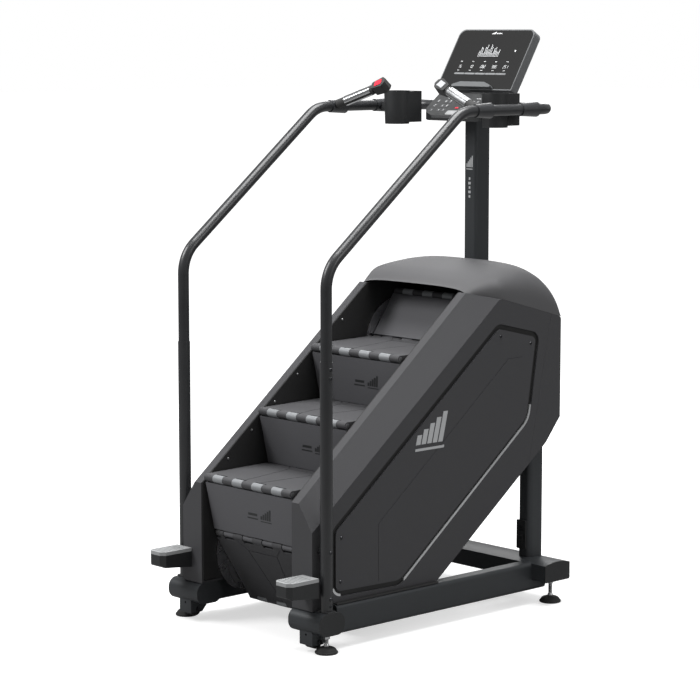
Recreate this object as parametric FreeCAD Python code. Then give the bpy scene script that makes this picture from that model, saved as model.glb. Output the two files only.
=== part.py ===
import FreeCAD, Part
import math
import os
from FreeCAD import Vector

# Stair climber. Millimetres, +Z up, +X to the machine's right as its user climbs, +Y towards the console.
# While pieces are drawn, Y = 0 is the axis of the front foot tubes. At export everything moves along Y
# so that the origin is the middle of the footprint, on the floor.

# ---- driving dimensions: the climbing flight ----
STEP_RISE = 203.0
STEP_RUN = 248.0
FLIGHT_STEPS = 3
TREAD_HALF_WIDTH = 222.0
NOSING_OVERHANG = 45.0       # a nosing stands this far in front of the hinge below it
TREAD_BACK_RISE = 5.4        # the hinge behind a tread is this far above its nosing axis
FIRST_NOSING = (-20.0, 513.6)
TREAD_TOP = 12.0             # tread surface above the line between its two rods
TREAD_THICKNESS = 26.0
GROOVE_WIDTH = 3.0
GROOVE_DEPTH = 2.0
GROOVE_HALF = (36.0, 74.0)     # half-width of the groove figure at the front and at its cross line
GROOVE_DEPTH_SHARE = 0.84      # where the cross line lies along the tread
RISER_FACE = 10.0            # riser surface in front of the line between its two rods
RISER_THICKNESS = 14.0
ROD_RADIUS = 8.0
KNUCKLE_RADIUS = 13.0
RISER_KNUCKLE_RADIUS = 10.5
SLEEVE_RADIUS = 13.5
SLEEVE_LENGTH = 50.0
SLEEVE_COUNT = 4
SLEEVE_PITCH = 101.3
NECK_THICKNESS = 9.0
RUNNING_CLEARANCE = 0.06
HINGE_GAP = 1.0              # between neighbouring knuckles on one rod
ROLLER_X = (198.0, 214.0)
RAIL_START = 40.0            # guide rail begins this far above the lowest hinge
TRAVEL = 30.0                # how far the flight moves either way along its slope

# ---- guide wheels ----
LOWER_WHEEL_SHARE = (0.494797, -0.279816)  # from the lowest hinge, in tread links
UPPER_WHEEL_OFFSET = (126.0, -14.0)   # from the last hinge of the flight
RETURN_SAG = 31.240          # how far the return run's hinges hang off the line between the wheels
WHEEL_SEARCH = (1.03, 1.6)   # bounds of the upper pitch radius, in half tread links
SHAFT_RADIUS = 15.0
SHAFT_END_X = 300.0
DISC_X = (224.0, 228.0)
DISC_RIM_DROP = 22.0         # disc rim inside the circle that the rods follow

# ---- frame; "behind" and "above" are measured from the next nosing above the flight ----
RAIL_X = 325.0
RAIL_SIZE = (60.0, 100.0)    # across, high
RAIL_BOTTOM = 50.0
RAIL_REAR_BEHIND = 351.0
FRAME_WALL = 3.0
STUB_X = (237.0, 394.0)
STUB_DEPTH = 112.0
STUB_BOTTOM = 63.0
STUB_HEIGHT = 75.0
BEAM_HALF = 420.0
BEAM_BEHIND = (280.0, 409.0)
BEAM_Z = (85.0, 156.0)
BEAM_SHOULDER = 9.0          # how far the arch of the beam drops at its edges
BEAM_CORNER = 7.0
CAP_THICKNESS = 4.0
UPRIGHT_SIZE = (60.0, 78.0)
UPRIGHT_CORNER = 20.0
MAST_CORNER = 12.0
RAIL_CORNER = 14.0
UPRIGHT_X = 275.0
UPRIGHT_BEHIND = 357.0
UPRIGHT_TOP_BELOW = 260.0
MAST_BEHIND = 352.0
MAST_SIZE = (60.0, 78.0)
MAST_FOOT_BELOW = 2.0
MAST_TOP_ABOVE = 689.0
CROSS_HEIGHT = 60.0

# ---- body ----
PLATE_X = (230.0, 234.0)
RIM_X = 269.0
BODY_X = 334.0
SKIN = 4.0
SIDE_WALL = 10.0
FRONT_Y = -36.0
FIT_GAP = 0.5                # between neighbouring body panels
COLUMN_BOTTOM = STUB_BOTTOM + STUB_HEIGHT + FIT_GAP
RIM_BELOW_NOSING = 8.0       # rim below the line through the nosing axes
EDGE_DROP = (90.0, 109.0)    # outer edge below the rim, at the front and at the hood
RIM_END_BEHIND = 21.0
EDGE_END_BEHIND = 123.0
SEAM_FRONT = (132.0, -13.6)
SEAM_REAR = (438.0, -99.1)
SPLIT_TOP_BEHIND = 391.0
SPLIT_FOOT_BEHIND = 280.5
REAR_BEHIND = 443.0
REAR_STRAIGHT_BELOW = 462.0
REAR_FOOT = (371.0, -547.6)
BELLY_START_Y = 546.0
HOOD_LIP = (27.0, 6.4)
HOOD_LIP_HALF = 261.0

# ---- access panel, inset from the edges of the side cover ----
PANEL_THICKNESS = 6.0
CHANNEL_WIDTH = 18.0
PANEL_FRONT_Y = 70.0
PANEL_BELOW_EDGE = 97.0
PANEL_REAR_INSET = 80.0
PANEL_BELOW_SEAM = 100.0
PANEL_ABOVE_BELLY = 180.0
PANEL_FOOT_Z = 190.0
STRIP_WIDTH = 8.0
LINE_WIDTH = 2.0             # shallow lines cut into panels
LINE_DEPTH = 1.0
PANEL_LINE_INSET = 195.0     # from the panel's front edge
PANEL_LINE_BELOW = 250.0     # below the cover's outer edge
PANEL_LINE_END = 70.0        # from the panel's rear edge
PANEL_LINE_RUN_OUT = 70.0

# ---- handrails ----
HANDRAIL_X = 365.0
UPPER_TUBE_RADIUS = 19.0
LOWER_TUBE_RADIUS = 21.0
TUBE_WALL = 2.5
POST_SEAM_Z = 969.0
POST_PLATE = 6.0
HANDRAIL_CORNER_Z = 1267.0
HANDRAIL_TOP = (-99.0, 642.4)
HANDRAIL_BEND = 130.0
HANDRAIL_REAR_BEND = 95.0
HANDRAIL_REAR_BEHIND = 374.0
FRONT_COLLAR = (-38.0, 33.0)
REAR_COLLAR = (184.0, 264.0)
COLLAR_RADII = (22.5, 27.0)
GRIP_START_BEHIND = -20.0
GRIP_TIP = (157.0, 20.0, 716.4)
GRIP_RADIUS = 17.0
CONTACT_THICKNESS = 1.5
POD_LENGTH = 62.0
TIP_POD_SIZE = (46.0, 38.0)
POD_CHAMFER = 14.0
POD_SHOULDER = 8.0
POD_CORNER = 6.0
GRIP_FACE = (-0.72, 0.69)    # the way the grip's face looks: along Y and Z
CONTACT_START = 62.0         # from the start of the grip
CONTACT_END = 12.0           # before the pod
CONTACT_SPLIT = 5.0          # half the gap between the two plates
BUTTON_SIZE = (30.0, 24.0, 6.0)
BUTTON_STAND = 2.0           # out of the pod's face
BUTTON_TRAVEL = 2.5

# ---- cup holders ----
CUP_X = 246.0
CUP_BEHIND = 186.0
CUP_RADIUS = 48.0
CUP_ABOVE = (577.4, 697.4)
CUP_WALL = 3.0
CUP_TAPER = 4.0              # how much smaller the foot's radius is
ARM_Y = (10.0, 60.0)         # behind the cup's axis
ARM_Z = (-20.0, 14.0)        # about the handrail's axis
POCKET_DEPTH = 40.0
POCKET_HALF = 40.0
POCKET_LIFT = 6.0            # pocket floor above the cup's

# ---- console ----
BOARD_WIDTH = 374.0
BOARD_HEIGHT = 252.0
BOARD_THICKNESS = 35.0
BOARD_CORNER = 27.0
BOARD_FOOT = (327.0, 702.4)
BOARD_TILT = 31.5            # degrees back from upright
GLASS_THICKNESS = 3.0
GLASS_MARGIN = 4.0
NECK_HALF = 26.0
NECK_Y = (-10.0, 32.0)       # about the mast's axis
NECK_HEIGHT = 40.0
LEDGE = [(95.0, 2.0), (95.0, 10.0), (60.0, 22.0)]  # right half, across and up the board
LEDGE_DEPTH = 20.0
LEDGE_CORNER = 3.0
KEYPAD_HALF = 150.0
KEYPAD_REACH = 102.0         # nose in front of the mast
KEYPAD_NOSE_ABOVE = 612.0
KEYPAD_CORNERS = (34.0, 60.0)

# ---- pegs, transport wheels and levelling feet ----
PEG_X = (288.0, 368.0)
PEG_LENGTH = 130.0
PEG_Z = (190.0, 210.0, 245.0)  # bottom at the root, bottom at the tip, top
PEG_CAP_HEIGHT = 12.0
PEG_CHAMFER = 16.0
PEG_RIB = (5.0, 14.0, 3.0)   # groove width, pitch and depth
PEG_RIB_MARGIN = 8.0
BRACKET_X = (283.0, 345.0)
BRACKET_SHEET = 4.0
BRACKET_FRONT_Y = -46.0
BRACKET_REAR_Y = 24.0
BRACKET_HOLE_RADIUS = 4.0
BRACKET_BOTTOM = 26.0
BRACKET_TOP = 88.0
WHEEL_RADIUS = 25.0
WHEEL_WIDTH = 40.0
WHEEL_PLACE = (-14.0, 36.0)
AXLE_RADIUS = 5.0
FOOT_X = {"front": 364.0, "rear": 374.0}
FOOT_PAD_RADIUS = 39.0
FOOT_PAD_HEIGHT = 22.0
STEM_RADIUS = 7.0
FOOT_TRAVEL = 15.0           # how far a foot screws out
STEM_INSERT = FOOT_TRAVEL + 7.0
PAD_RIM_HEIGHT = 6.0
PAD_CROWN_RADIUS = 13.0
FOOT_BALL_RADIUS = 9.5
NUT_RADIUS = 12.0            # to its corners
NUT_HEIGHT = 15.5

# ---- power inlet and switch ----
INLET_OFFSET = -5.0          # its middle from the upright's middle
INLET_HALF = 22.0
INLET_Z = (184.0, 289.0)
INLET_DEPTH = 6.0
SWITCH_WELL = (12.0, 205.5, 237.5)     # half width, bottom, top
SOCKET_WELL = (13.0, 248.0, 270.0)
PRONG_PITCH = 7.0
PRONG_Z = (256.0, 263.0)
ROCKER_HALF = 11.0
ROCKER_MIDDLE_Z = 221.5
ROCKER_REACH = 14.0          # up and down from its middle
ROCKER_SWING = 12.0          # degrees between off and on
ROCKER_PIN = 2.0

# ---- drive ----
PULLEY_RADIUS = 110.0
PULLEY_X = (252.0, 272.0)
ALTERNATOR_PLACE = (-34.0, -640.0)
ALTERNATOR_RADIUS = 78.0
ALTERNATOR_X = (276.0, 322.0)
ALTERNATOR_PULLEY_RADIUS = 30.0
BELT_THICKNESS = 4.0
BELT_GAP = 0.5
CONTROL_BOX_Y = (560.0, 700.0)
CONTROL_BOX_Z = (330.0, 450.0)
CONTROL_BOX_DEPTH = 60.0

# ---- fasteners ----
BOLT_SPOTS = (945.0, 915.0, 340.0, 184.0, 161.0)  # heights on the handrail posts
BOLT_HEAD = (6.5, 4.0)       # radius and height
SCREW_HEAD = (6.0, 2.5)
AXLE_HEAD_RADIUS = 8.0
AXLE_HEAD_HEIGHT = 5.0

TOP_Y = FIRST_NOSING[0] + FLIGHT_STEPS * STEP_RUN
TOP_Z = FIRST_NOSING[1] + FLIGHT_STEPS * STEP_RISE
RAIL_TOP = RAIL_BOTTOM + RAIL_SIZE[1]
FOOT_Y = {"front": 0.0, "rear": TOP_Y + UPRIGHT_BEHIND}

NODES = {}


# ---- geometry helpers ----
def box(x0, x1, y0, y1, z0, z1):
    """A block between two corners."""
    return Part.makeBox(x1 - x0, y1 - y0, z1 - z0, Vector(x0, y0, z0))


def rounded_wire(points, radii):
    """A closed wire through points, each corner rounded by a tangent arc of its own radius."""
    if not isinstance(radii, (list, tuple)):
        radii = [radii] * len(points)
    starts, ends, arcs = [], [], []
    count = len(points)
    for i in range(count):
        here, radius = points[i], radii[i]
        back = (points[i - 1] - here).normalize()
        ahead = (points[(i + 1) % count] - here).normalize()
        half = back.getAngle(ahead) / 2
        reach = min(radius / math.tan(half),
                    0.45 * (points[i - 1] - here).Length,
                    0.45 * (points[(i + 1) % count] - here).Length) if radius else 0.0
        starts.append(here + back * reach)
        ends.append(here + ahead * reach)
        if reach > 1e-6:
            middle = (back + ahead).normalize()
            true_radius = reach * math.tan(half)
            arcs.append(here + middle * (true_radius / math.sin(half) - true_radius))
        else:
            arcs.append(None)
    edges = []
    for i in range(count):
        if arcs[i] is not None:
            edges.append(Part.Arc(starts[i], arcs[i], ends[i]).toShape())
        gap = starts[(i + 1) % count] - ends[i]
        if gap.Length > 1e-6:
            edges.append(Part.LineSegment(ends[i], starts[(i + 1) % count]).toShape())
    return Part.Wire(edges)


def side_profile(points, x0, x1, radii=0.0):
    """A (Y, Z) outline drawn at x0 and extruded to x1."""
    wire = rounded_wire([Vector(x0, y, z) for y, z in points], radii)
    return Part.Face(wire).extrude(Vector(x1 - x0, 0, 0))


def plan_profile(points, z0, z1, radii=0.0):
    """An (X, Y) outline drawn at z0 and extruded to z1."""
    wire = rounded_wire([Vector(x, y, z0) for x, y in points], radii)
    return Part.Face(wire).extrude(Vector(0, 0, z1 - z0))


def front_profile(points, y0, y1, radii=0.0):
    """An (X, Z) outline drawn at y0 and extruded to y1."""
    wire = rounded_wire([Vector(x, y0, z) for x, z in points], radii)
    return Part.Face(wire).extrude(Vector(0, y1 - y0, 0))


def rectangle(a0, a1, b0, b1):
    """The four corners of an upright rectangle."""
    return [(a0, b0), (a1, b0), (a1, b1), (a0, b1)]


def rod_x(place, x0, x1, radius):
    """A cylinder along X through the (Y, Z) place."""
    return Part.makeCylinder(radius, x1 - x0, Vector(x0, place[0], place[1]), Vector(1, 0, 0))


def cylinder(radius, start, end):
    """A cylinder from one point to another."""
    axis = end - start
    return Part.makeCylinder(radius, axis.Length, start, axis)


def mirrored(item):
    """The same piece, or the same list of pieces, on the other side of the machine."""
    if isinstance(item, list):
        return [mirrored(piece) for piece in item]
    return item.mirror(Vector(0, 0, 0), Vector(1, 0, 0))


def both_sides(item):
    """The right-hand piece and its left-hand copy, as two solids."""
    return [item, mirrored(item)]


def bent_tube(points, radius, bends, wall):
    """A round tube through points, with a tangent arc of the given radius at each bend."""
    edges = []
    start = points[0]
    for i in range(1, len(points) - 1):
        here = points[i]
        back = (points[i - 1] - here).normalize()
        ahead = (points[i + 1] - here).normalize()
        half = back.getAngle(ahead) / 2
        reach = bends[i - 1] / math.tan(half)
        middle = (back + ahead).normalize()
        top = here + middle * (bends[i - 1] / math.sin(half) - bends[i - 1])
        edges.append(Part.LineSegment(start, here + back * reach).toShape())
        edges.append(Part.Arc(here + back * reach, top, here + ahead * reach).toShape())
        start = here + ahead * reach
    edges.append(Part.LineSegment(start, points[-1]).toShape())
    path = Part.Wire(edges)
    first = points[1] - points[0]
    outer = path.makePipe(Part.Face(Part.Wire(Part.makeCircle(radius, points[0], first))))
    inner = path.makePipe(Part.Face(Part.Wire(Part.makeCircle(radius - wall, points[0], first))))
    return outer.cut(inner)


def solids_of(item):
    """A flat list of the solids in a shape or a list of shapes."""
    if isinstance(item, (list, tuple)):
        return [solid for part in item for solid in solids_of(part)]
    return item.Solids


def keep(name, item):
    """Store the solids of one node."""
    found = solids_of(item)
    NODES[name] = found[0] if len(found) == 1 else Part.makeCompound(found)


def keep_pair(name, right_piece):
    """Store a right-hand piece and its mirrored left-hand piece as two nodes."""
    keep(name + "_right", right_piece)
    keep(name + "_left", mirrored(right_piece))


# ---- places worked out from the driving dimensions ----
def along(point, dy, dz):
    return (point[0] + dy, point[1] + dz)


def span(a, b):
    return math.hypot(b[0] - a[0], b[1] - a[1])


def meet(p, rp, q, rq, side):
    """Where the circle of radius rp about p meets that of rq about q; side picks left or right of p to q."""
    reach = span(p, q)
    run = (rp * rp - rq * rq + reach * reach) / (2 * reach)
    rise = math.sqrt(rp * rp - run * run)
    uy, uz = (q[0] - p[0]) / reach, (q[1] - p[1]) / reach
    return (p[0] + run * uy - side * rise * uz, p[1] + run * uz + side * rise * uy)


def behind(offset):
    """Y of a place measured from the next nosing above the flight."""
    return TOP_Y + offset


def above(offset):
    """Z of a place measured from the next nosing above the flight."""
    return TOP_Z + offset


def top_point(offsets):
    return (behind(offsets[0]), above(offsets[1]))


def between(a, b, y):
    """Height at y on the line through the (Y, Z) places a and b."""
    return a[1] + (y - a[0]) * (b[1] - a[1]) / (b[0] - a[0])


def nosing_line(y):
    """Height of the line through the nosing axes at y."""
    return FIRST_NOSING[1] + (y - FIRST_NOSING[0]) * STEP_RISE / STEP_RUN


def rim_z(y):
    return nosing_line(y) - RIM_BELOW_NOSING


def edge_z(y):
    share = (y - FRONT_Y) / (behind(EDGE_END_BEHIND) - FRONT_Y)
    return rim_z(y) - EDGE_DROP[0] - share * (EDGE_DROP[1] - EDGE_DROP[0])


def find_pivots():
    """Every nosing (N) and back hinge (B) of the closed loop of seven steps."""
    pivots = {}
    riser = (-NOSING_OVERHANG, STEP_RISE - TREAD_BACK_RISE)
    for k in range(1, FLIGHT_STEPS + 1):
        pivots["N%d" % k] = along(FIRST_NOSING, (k - 1) * STEP_RUN, (k - 1) * STEP_RISE)
        pivots["B%d" % (k - 1)] = along(pivots["N%d" % k], -riser[0], -riser[1])
    pivots["B3"] = along(pivots["B2"], STEP_RUN, STEP_RISE)
    tread = span(pivots["N1"], pivots["B1"])
    link = math.hypot(*riser)
    low = along(pivots["B0"], LOWER_WHEEL_SHARE[0] * tread, LOWER_WHEEL_SHARE[1] * tread)
    low_radius = span(low, pivots["B0"])
    high = along(pivots["B3"], *UPPER_WHEEL_OFFSET)
    pivots["N0"] = meet(pivots["B0"], tread, low, low_radius, -1)
    pivots["B6"] = meet(pivots["N0"], link, low, low_radius, -1)
    high_radius = wrap_upper(pivots, tread, link, high)
    return pivots, tread, link, low, high, low_radius, high_radius


def wrap_upper(pivots, tread, link, high):
    """Lay the steps round the upper wheel, whose pitch radius hangs the return run by its sag."""
    wanted = link + 2 * math.sqrt(tread ** 2 - RETURN_SAG ** 2)
    small, large = WHEEL_SEARCH[0] * tread / 2, WHEEL_SEARCH[1] * tread / 2
    while large - small > 1e-9:
        radius = (small + large) / 2
        pivots["N4"] = meet(pivots["B3"], link, high, radius, 1)
        pivots["B4"] = meet(pivots["N4"], tread, high, radius, 1)
        pivots["N5"] = meet(pivots["B4"], link, high, radius, 1)
        if span(pivots["N5"], pivots["B6"]) < wanted:
            small = radius
        else:
            large = radius
    return radius


P, TREAD_LINK, RISER_LINK, LOW, HIGH, LOW_RADIUS, HIGH_RADIUS = find_pivots()
TREAD_SPOTS = [(i - (SLEEVE_COUNT - 1) / 2) * SLEEVE_PITCH for i in range(SLEEVE_COUNT)]
BELLY_START = (BELLY_START_Y, RAIL_TOP + SKIN + FIT_GAP)
REAR_FOOT_PLACE = top_point(REAR_FOOT)
SEAM = (top_point(SEAM_FRONT), top_point(SEAM_REAR))


def seam_z(y):
    return between(SEAM[0], SEAM[1], y)


def belly_z(y):
    return between(BELLY_START, REAR_FOOT_PLACE, y)


def outset(points, distance):
    """A (Y, Z) outline moved outwards by distance (inwards when negative), with sharp corners."""
    wire = rounded_wire([Vector(0, y, z) for y, z in points], 0.0)
    moved = wire.makeOffset2D(distance, 2)
    return [(v.Point.y, v.Point.z) for v in moved.OrderedVertexes]


# ---- steps: drawn along +Y from one rod to the next, outer surface up, then laid between two pivots ----
def lay(shape, start, end):
    """Turn a piece drawn from (0, 0) towards +Y so that it runs from start to end."""
    angle = math.degrees(math.atan2(end[1] - start[1], end[0] - start[0]))
    placed = shape.copy()
    placed.rotate(Vector(0, 0, 0), Vector(1, 0, 0), angle)
    placed.translate(Vector(0, start[0], start[1]))
    return placed


def tread_knuckle_spans(outer_limit):
    """The X ranges between and outside the sleeves."""
    half = SLEEVE_LENGTH / 2 + HINGE_GAP
    edges = [-outer_limit]
    for spot in TREAD_SPOTS:
        edges += [spot - half, spot + half]
    edges.append(outer_limit)
    return [(edges[i], edges[i + 1]) for i in range(0, len(edges), 2)]


def make_tread():
    """A deck with knuckles round its nosing rod and round its back rod."""
    end_gap = KNUCKLE_RADIUS + 2 * HINGE_GAP
    low = TREAD_TOP - TREAD_THICKNESS
    deck = box(-TREAD_HALF_WIDTH, TREAD_HALF_WIDTH, end_gap, TREAD_LINK - end_gap, low, TREAD_TOP)
    for axis_y, limit, reach in ((0.0, TREAD_HALF_WIDTH, end_gap),
                                 (TREAD_LINK, ROLLER_X[0] - HINGE_GAP, -end_gap)):
        for x0, x1 in tread_knuckle_spans(limit):
            deck = deck.fuse(rod_x((axis_y, 0.0), x0, x1, KNUCKLE_RADIUS))
            deck = deck.fuse(box(x0, x1, min(axis_y, axis_y + reach), max(axis_y, axis_y + reach), low / 2,
                                 TREAD_TOP))
    for axis_y in (0.0, TREAD_LINK):
        bore = ROD_RADIUS + RUNNING_CLEARANCE
        deck = deck.cut(rod_x((axis_y, 0.0), -TREAD_HALF_WIDTH - 1, TREAD_HALF_WIDTH + 1, bore))
    return deck.removeSplitter().cut(tread_grooves())


def tread_grooves():
    """Grooves in a tread's top: two sides that spread towards the back, a cross line and two corner lines."""
    near, far = KNUCKLE_RADIUS + 3 * HINGE_GAP, TREAD_LINK * GROOVE_DEPTH_SHARE
    end = TREAD_LINK - KNUCKLE_RADIUS
    flare = end - far
    lines = [((GROOVE_HALF[1], far), (-GROOVE_HALF[1], far))]
    for side in (1, -1):
        lines.append(((side * GROOVE_HALF[0], near), (side * GROOVE_HALF[1], far)))
        lines.append(((side * GROOVE_HALF[1], far), (side * (GROOVE_HALF[1] + flare), end)))
    cuts = []
    for (x0, y0), (x1, y1) in lines:
        length = span((x0, y0), (x1, y1))
        cut = box(-GROOVE_WIDTH / 2, length + GROOVE_WIDTH / 2, -GROOVE_WIDTH / 2, GROOVE_WIDTH / 2,
                  TREAD_TOP - GROOVE_DEPTH, TREAD_TOP + 1)
        cut.rotate(Vector(0, 0, 0), Vector(0, 0, 1), math.degrees(math.atan2(y1 - y0, x1 - x0)))
        cut.translate(Vector(x0, y0, 0))
        cuts.append(cut)
    return cuts[0].multiFuse(cuts[1:])


def make_riser():
    """A plate with necks and small knuckles at the four sleeve places of both rods."""
    end_gap = SLEEVE_RADIUS + 2 * HINGE_GAP
    plate = box(-TREAD_HALF_WIDTH, TREAD_HALF_WIDTH, end_gap, RISER_LINK - end_gap,
                RISER_FACE - RISER_THICKNESS, RISER_FACE)
    for axis_y, reach in ((0.0, end_gap), (RISER_LINK, -end_gap)):
        for spot in TREAD_SPOTS:
            x0, x1 = spot - SLEEVE_LENGTH / 2, spot + SLEEVE_LENGTH / 2
            plate = plate.fuse(rod_x((axis_y, 0.0), x0, x1, RISER_KNUCKLE_RADIUS))
            plate = plate.fuse(box(x0, x1, min(axis_y, axis_y + reach), max(axis_y, axis_y + reach),
                                   -NECK_THICKNESS / 2, NECK_THICKNESS / 2))
        plate = plate.cut(rod_x((axis_y, 0.0), -TREAD_HALF_WIDTH, TREAD_HALF_WIDTH,
                                ROD_RADIUS + RUNNING_CLEARANCE))
    return plate.removeSplitter()


def make_sleeves(axis_y, toward):
    """The four clips snapped over a riser's knuckles, open where the necks leave."""
    clips = []
    for spot in TREAD_SPOTS:
        x0, x1 = spot - SLEEVE_LENGTH / 2, spot + SLEEVE_LENGTH / 2
        clip = rod_x((axis_y, 0.0), x0, x1, SLEEVE_RADIUS)
        clip = clip.cut(rod_x((axis_y, 0.0), x0 - 1, x1 + 1, RISER_KNUCKLE_RADIUS + RUNNING_CLEARANCE))
        slot = NECK_THICKNESS / 2 + HINGE_GAP / 2
        clip = clip.cut(box(x0 - 1, x1 + 1, min(axis_y, axis_y + toward * 20),
                            max(axis_y, axis_y + toward * 20),
                            -slot, slot))
        clips.append(clip)
    return clips


def make_rod(place):
    """A step rod across the machine."""
    return rod_x(place, -TREAD_HALF_WIDTH, TREAD_HALF_WIDTH, ROD_RADIUS)


def make_steps():
    """The loop of seven treads and seven risers with rods, sleeves and rollers."""
    tread, riser = make_tread(), make_riser()
    sleeves_top = make_sleeves(RISER_LINK, -1)
    n5, b6 = P["N5"], P["B6"]
    reach = span(n5, b6)
    uy, uz = (b6[0] - n5[0]) / reach, (b6[1] - n5[1]) / reach
    slack = (reach - RISER_LINK) / 2
    sag = math.sqrt(TREAD_LINK ** 2 - slack ** 2)
    P["B5"] = (n5[0] + uy * slack - uz * sag, n5[1] + uz * slack + uy * sag)
    P["N6"] = (P["B5"][0] + uy * RISER_LINK, P["B5"][1] + uz * RISER_LINK)
    steps = range(1, FLIGHT_STEPS + 1)
    keep("flight_treads", [lay(tread, P["N%d" % k], P["B%d" % k]) for k in steps])
    keep("flight_risers", [lay(riser, P["B%d" % (k - 1)], P["N%d" % k]) for k in steps])
    flight_pivots = ["N%d" % k for k in range(1, FLIGHT_STEPS + 1)]
    flight_pivots += ["B%d" % k for k in range(FLIGHT_STEPS + 1)]
    keep("hinge_rods", [make_rod(P[name]) for name in flight_pivots])
    keep("nosing_sleeves", [[lay(clip, P["B%d" % (k - 1)], P["N%d" % k]) for clip in sleeves_top]
                            for k in range(1, FLIGHT_STEPS + 1)])
    rollers = []
    for k in range(FLIGHT_STEPS + 1):
        roller = rod_x(P["B%d" % k], ROLLER_X[0], ROLLER_X[1], KNUCKLE_RADIUS)
        rollers += both_sides(roller.cut(rod_x(P["B%d" % k], 0, BODY_X, ROD_RADIUS + RUNNING_CLEARANCE)))
    keep("step_rollers", rollers)
    keep("tread_lower", lay(tread, P["N0"], P["B0"]))
    keep("lower_nosing", [make_rod(P["N0"])] + [lay(clip, P["B6"], P["N0"]) for clip in sleeves_top])
    open_end = box(-BODY_X, BODY_X, -KNUCKLE_RADIUS * 2, KNUCKLE_RADIUS * 2.5, -50, 50)
    keep("riser_lower", lay(riser.cut(open_end), P["B6"], P["N0"]))
    keep("riser_upper", lay(riser, P["B3"], P["N4"]))
    keep("upper_nosing", [make_rod(P["N4"])] + [lay(clip, P["B3"], P["N4"]) for clip in sleeves_top])
    keep("tread_upper", lay(tread, P["N4"], P["B4"]).fuse(make_rod(P["B4"])))
    open_top = box(-BODY_X, BODY_X, RISER_LINK - 2.5 * KNUCKLE_RADIUS, RISER_LINK + 2 * KNUCKLE_RADIUS, -50,
                   50)
    keep("riser_rear", lay(riser.cut(open_top), P["B4"], P["N5"]))
    returning = [lay(tread, P["N5"], P["B5"]), lay(tread, P["N6"], P["B6"]), lay(riser, P["B5"], P["N6"])]
    keep("return_steps", returning + [make_rod(P[name]) for name in ("N5", "B5", "N6", "B6")])


# ---- guide wheels and drive ----
def make_drive():
    """Shafts with discs, bearing blocks, pulleys, belt, alternator, guide rails and control box."""
    high = (HIGH[0], HIGH[1])
    bore = SHAFT_RADIUS + RUNNING_CLEARANCE
    keep("top_shaft", rod_x(high, -SHAFT_END_X, DISC_X[1] + 30, SHAFT_RADIUS))
    idler_shaft = rod_x(LOW, -DISC_X[1] - 30, DISC_X[1] + 30, SHAFT_RADIUS)
    for name, centre, radius in (("top_discs", high, HIGH_RADIUS), ("idler_wheel", LOW, LOW_RADIUS)):
        disc = rod_x(centre, DISC_X[0], DISC_X[1], radius - DISC_RIM_DROP)
        hub = rod_x(centre, DISC_X[0] - 14, DISC_X[1], SHAFT_RADIUS + 12)
        discs = both_sides(disc.fuse(hub).cut(rod_x(centre, 0, BODY_X, SHAFT_RADIUS)))
        keep(name, discs if name == "top_discs" else discs + [idler_shaft])
    blocks = []
    for y, z in (high, LOW):
        block = box(PLATE_X[1], PLATE_X[1] + 16, y - 34, y + 34, z - 26, z + 26)
        blocks += both_sides(block.cut(rod_x((y, z), 0, BODY_X, bore)))
    keep("bearing_blocks", blocks)
    motor = (behind(ALTERNATOR_PLACE[0]), above(ALTERNATOR_PLACE[1]))
    big = rod_x(high, -PULLEY_X[1], -PULLEY_X[0], PULLEY_RADIUS)
    keep("drive_pulley", big.cut(rod_x(high, -BODY_X, 0, SHAFT_RADIUS)))
    stub = rod_x(motor, -ALTERNATOR_X[0] - 4, -PULLEY_X[0], 8.0)
    keep("alternator_pulley", rod_x(motor, -PULLEY_X[1], -PULLEY_X[0], ALTERNATOR_PULLEY_RADIUS).fuse(stub))
    body = rod_x(motor, -ALTERNATOR_X[1], -ALTERNATOR_X[0], ALTERNATOR_RADIUS)
    arm = box(-ALTERNATOR_X[1], -PLATE_X[1], motor[0] - ALTERNATOR_RADIUS - 34,
              motor[0] - ALTERNATOR_RADIUS - 4,
              motor[1] - 30, motor[1] + 30)
    arm = arm.fuse(box(-ALTERNATOR_X[1], -ALTERNATOR_X[0], motor[0] - ALTERNATOR_RADIUS - 34, motor[0],
                       motor[1] - 30, motor[1] + 30))
    keep("alternator", body.fuse(arm).cut(rod_x(motor, -ALTERNATOR_X[0] - 6, 0, 8.0 + RUNNING_CLEARANCE)))
    inner_gap, outer_gap = BELT_GAP, BELT_GAP + BELT_THICKNESS
    keep("drive_belt", belt_loop(high, motor, outer_gap).cut(belt_loop(high, motor, inner_gap)))
    rails = []
    slope = math.atan2(STEP_RISE, STEP_RUN)
    ny, nz = math.sin(slope), -math.cos(slope)
    first, last = P["B0"], P["B%d" % FLIGHT_STEPS]
    reach = TRAVEL + KNUCKLE_RADIUS
    ends = [along(first, RAIL_START * math.cos(slope), RAIL_START * math.sin(slope)),
            along(last, reach * math.cos(slope), reach * math.sin(slope))]
    near, far = KNUCKLE_RADIUS + FIT_GAP, KNUCKLE_RADIUS + 26.0
    outline = [along(ends[0], ny * near, nz * near), along(ends[1], ny * near, nz * near),
               along(ends[1], ny * far, nz * far), along(ends[0], ny * far, nz * far)]
    rail = side_profile(outline, ROLLER_X[0] - 4, PLATE_X[0])
    for centre, radius in ((high, HIGH_RADIUS), (LOW, LOW_RADIUS)):
        rail = rail.cut(rod_x(centre, DISC_X[0] - 16, PLATE_X[0] + 1, radius - DISC_RIM_DROP + 2))
        rail = rail.cut(rod_x(centre, 0, BODY_X, SHAFT_RADIUS + 14))
    rails += both_sides(rail)
    keep("guide_rails", rails)
    outline = rectangle(CONTROL_BOX_Y[0], CONTROL_BOX_Y[1], CONTROL_BOX_Z[0], CONTROL_BOX_Z[1])
    keep("control_box", side_profile(outline, PLATE_X[1], PLATE_X[1] + CONTROL_BOX_DEPTH, 6.0))


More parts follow.
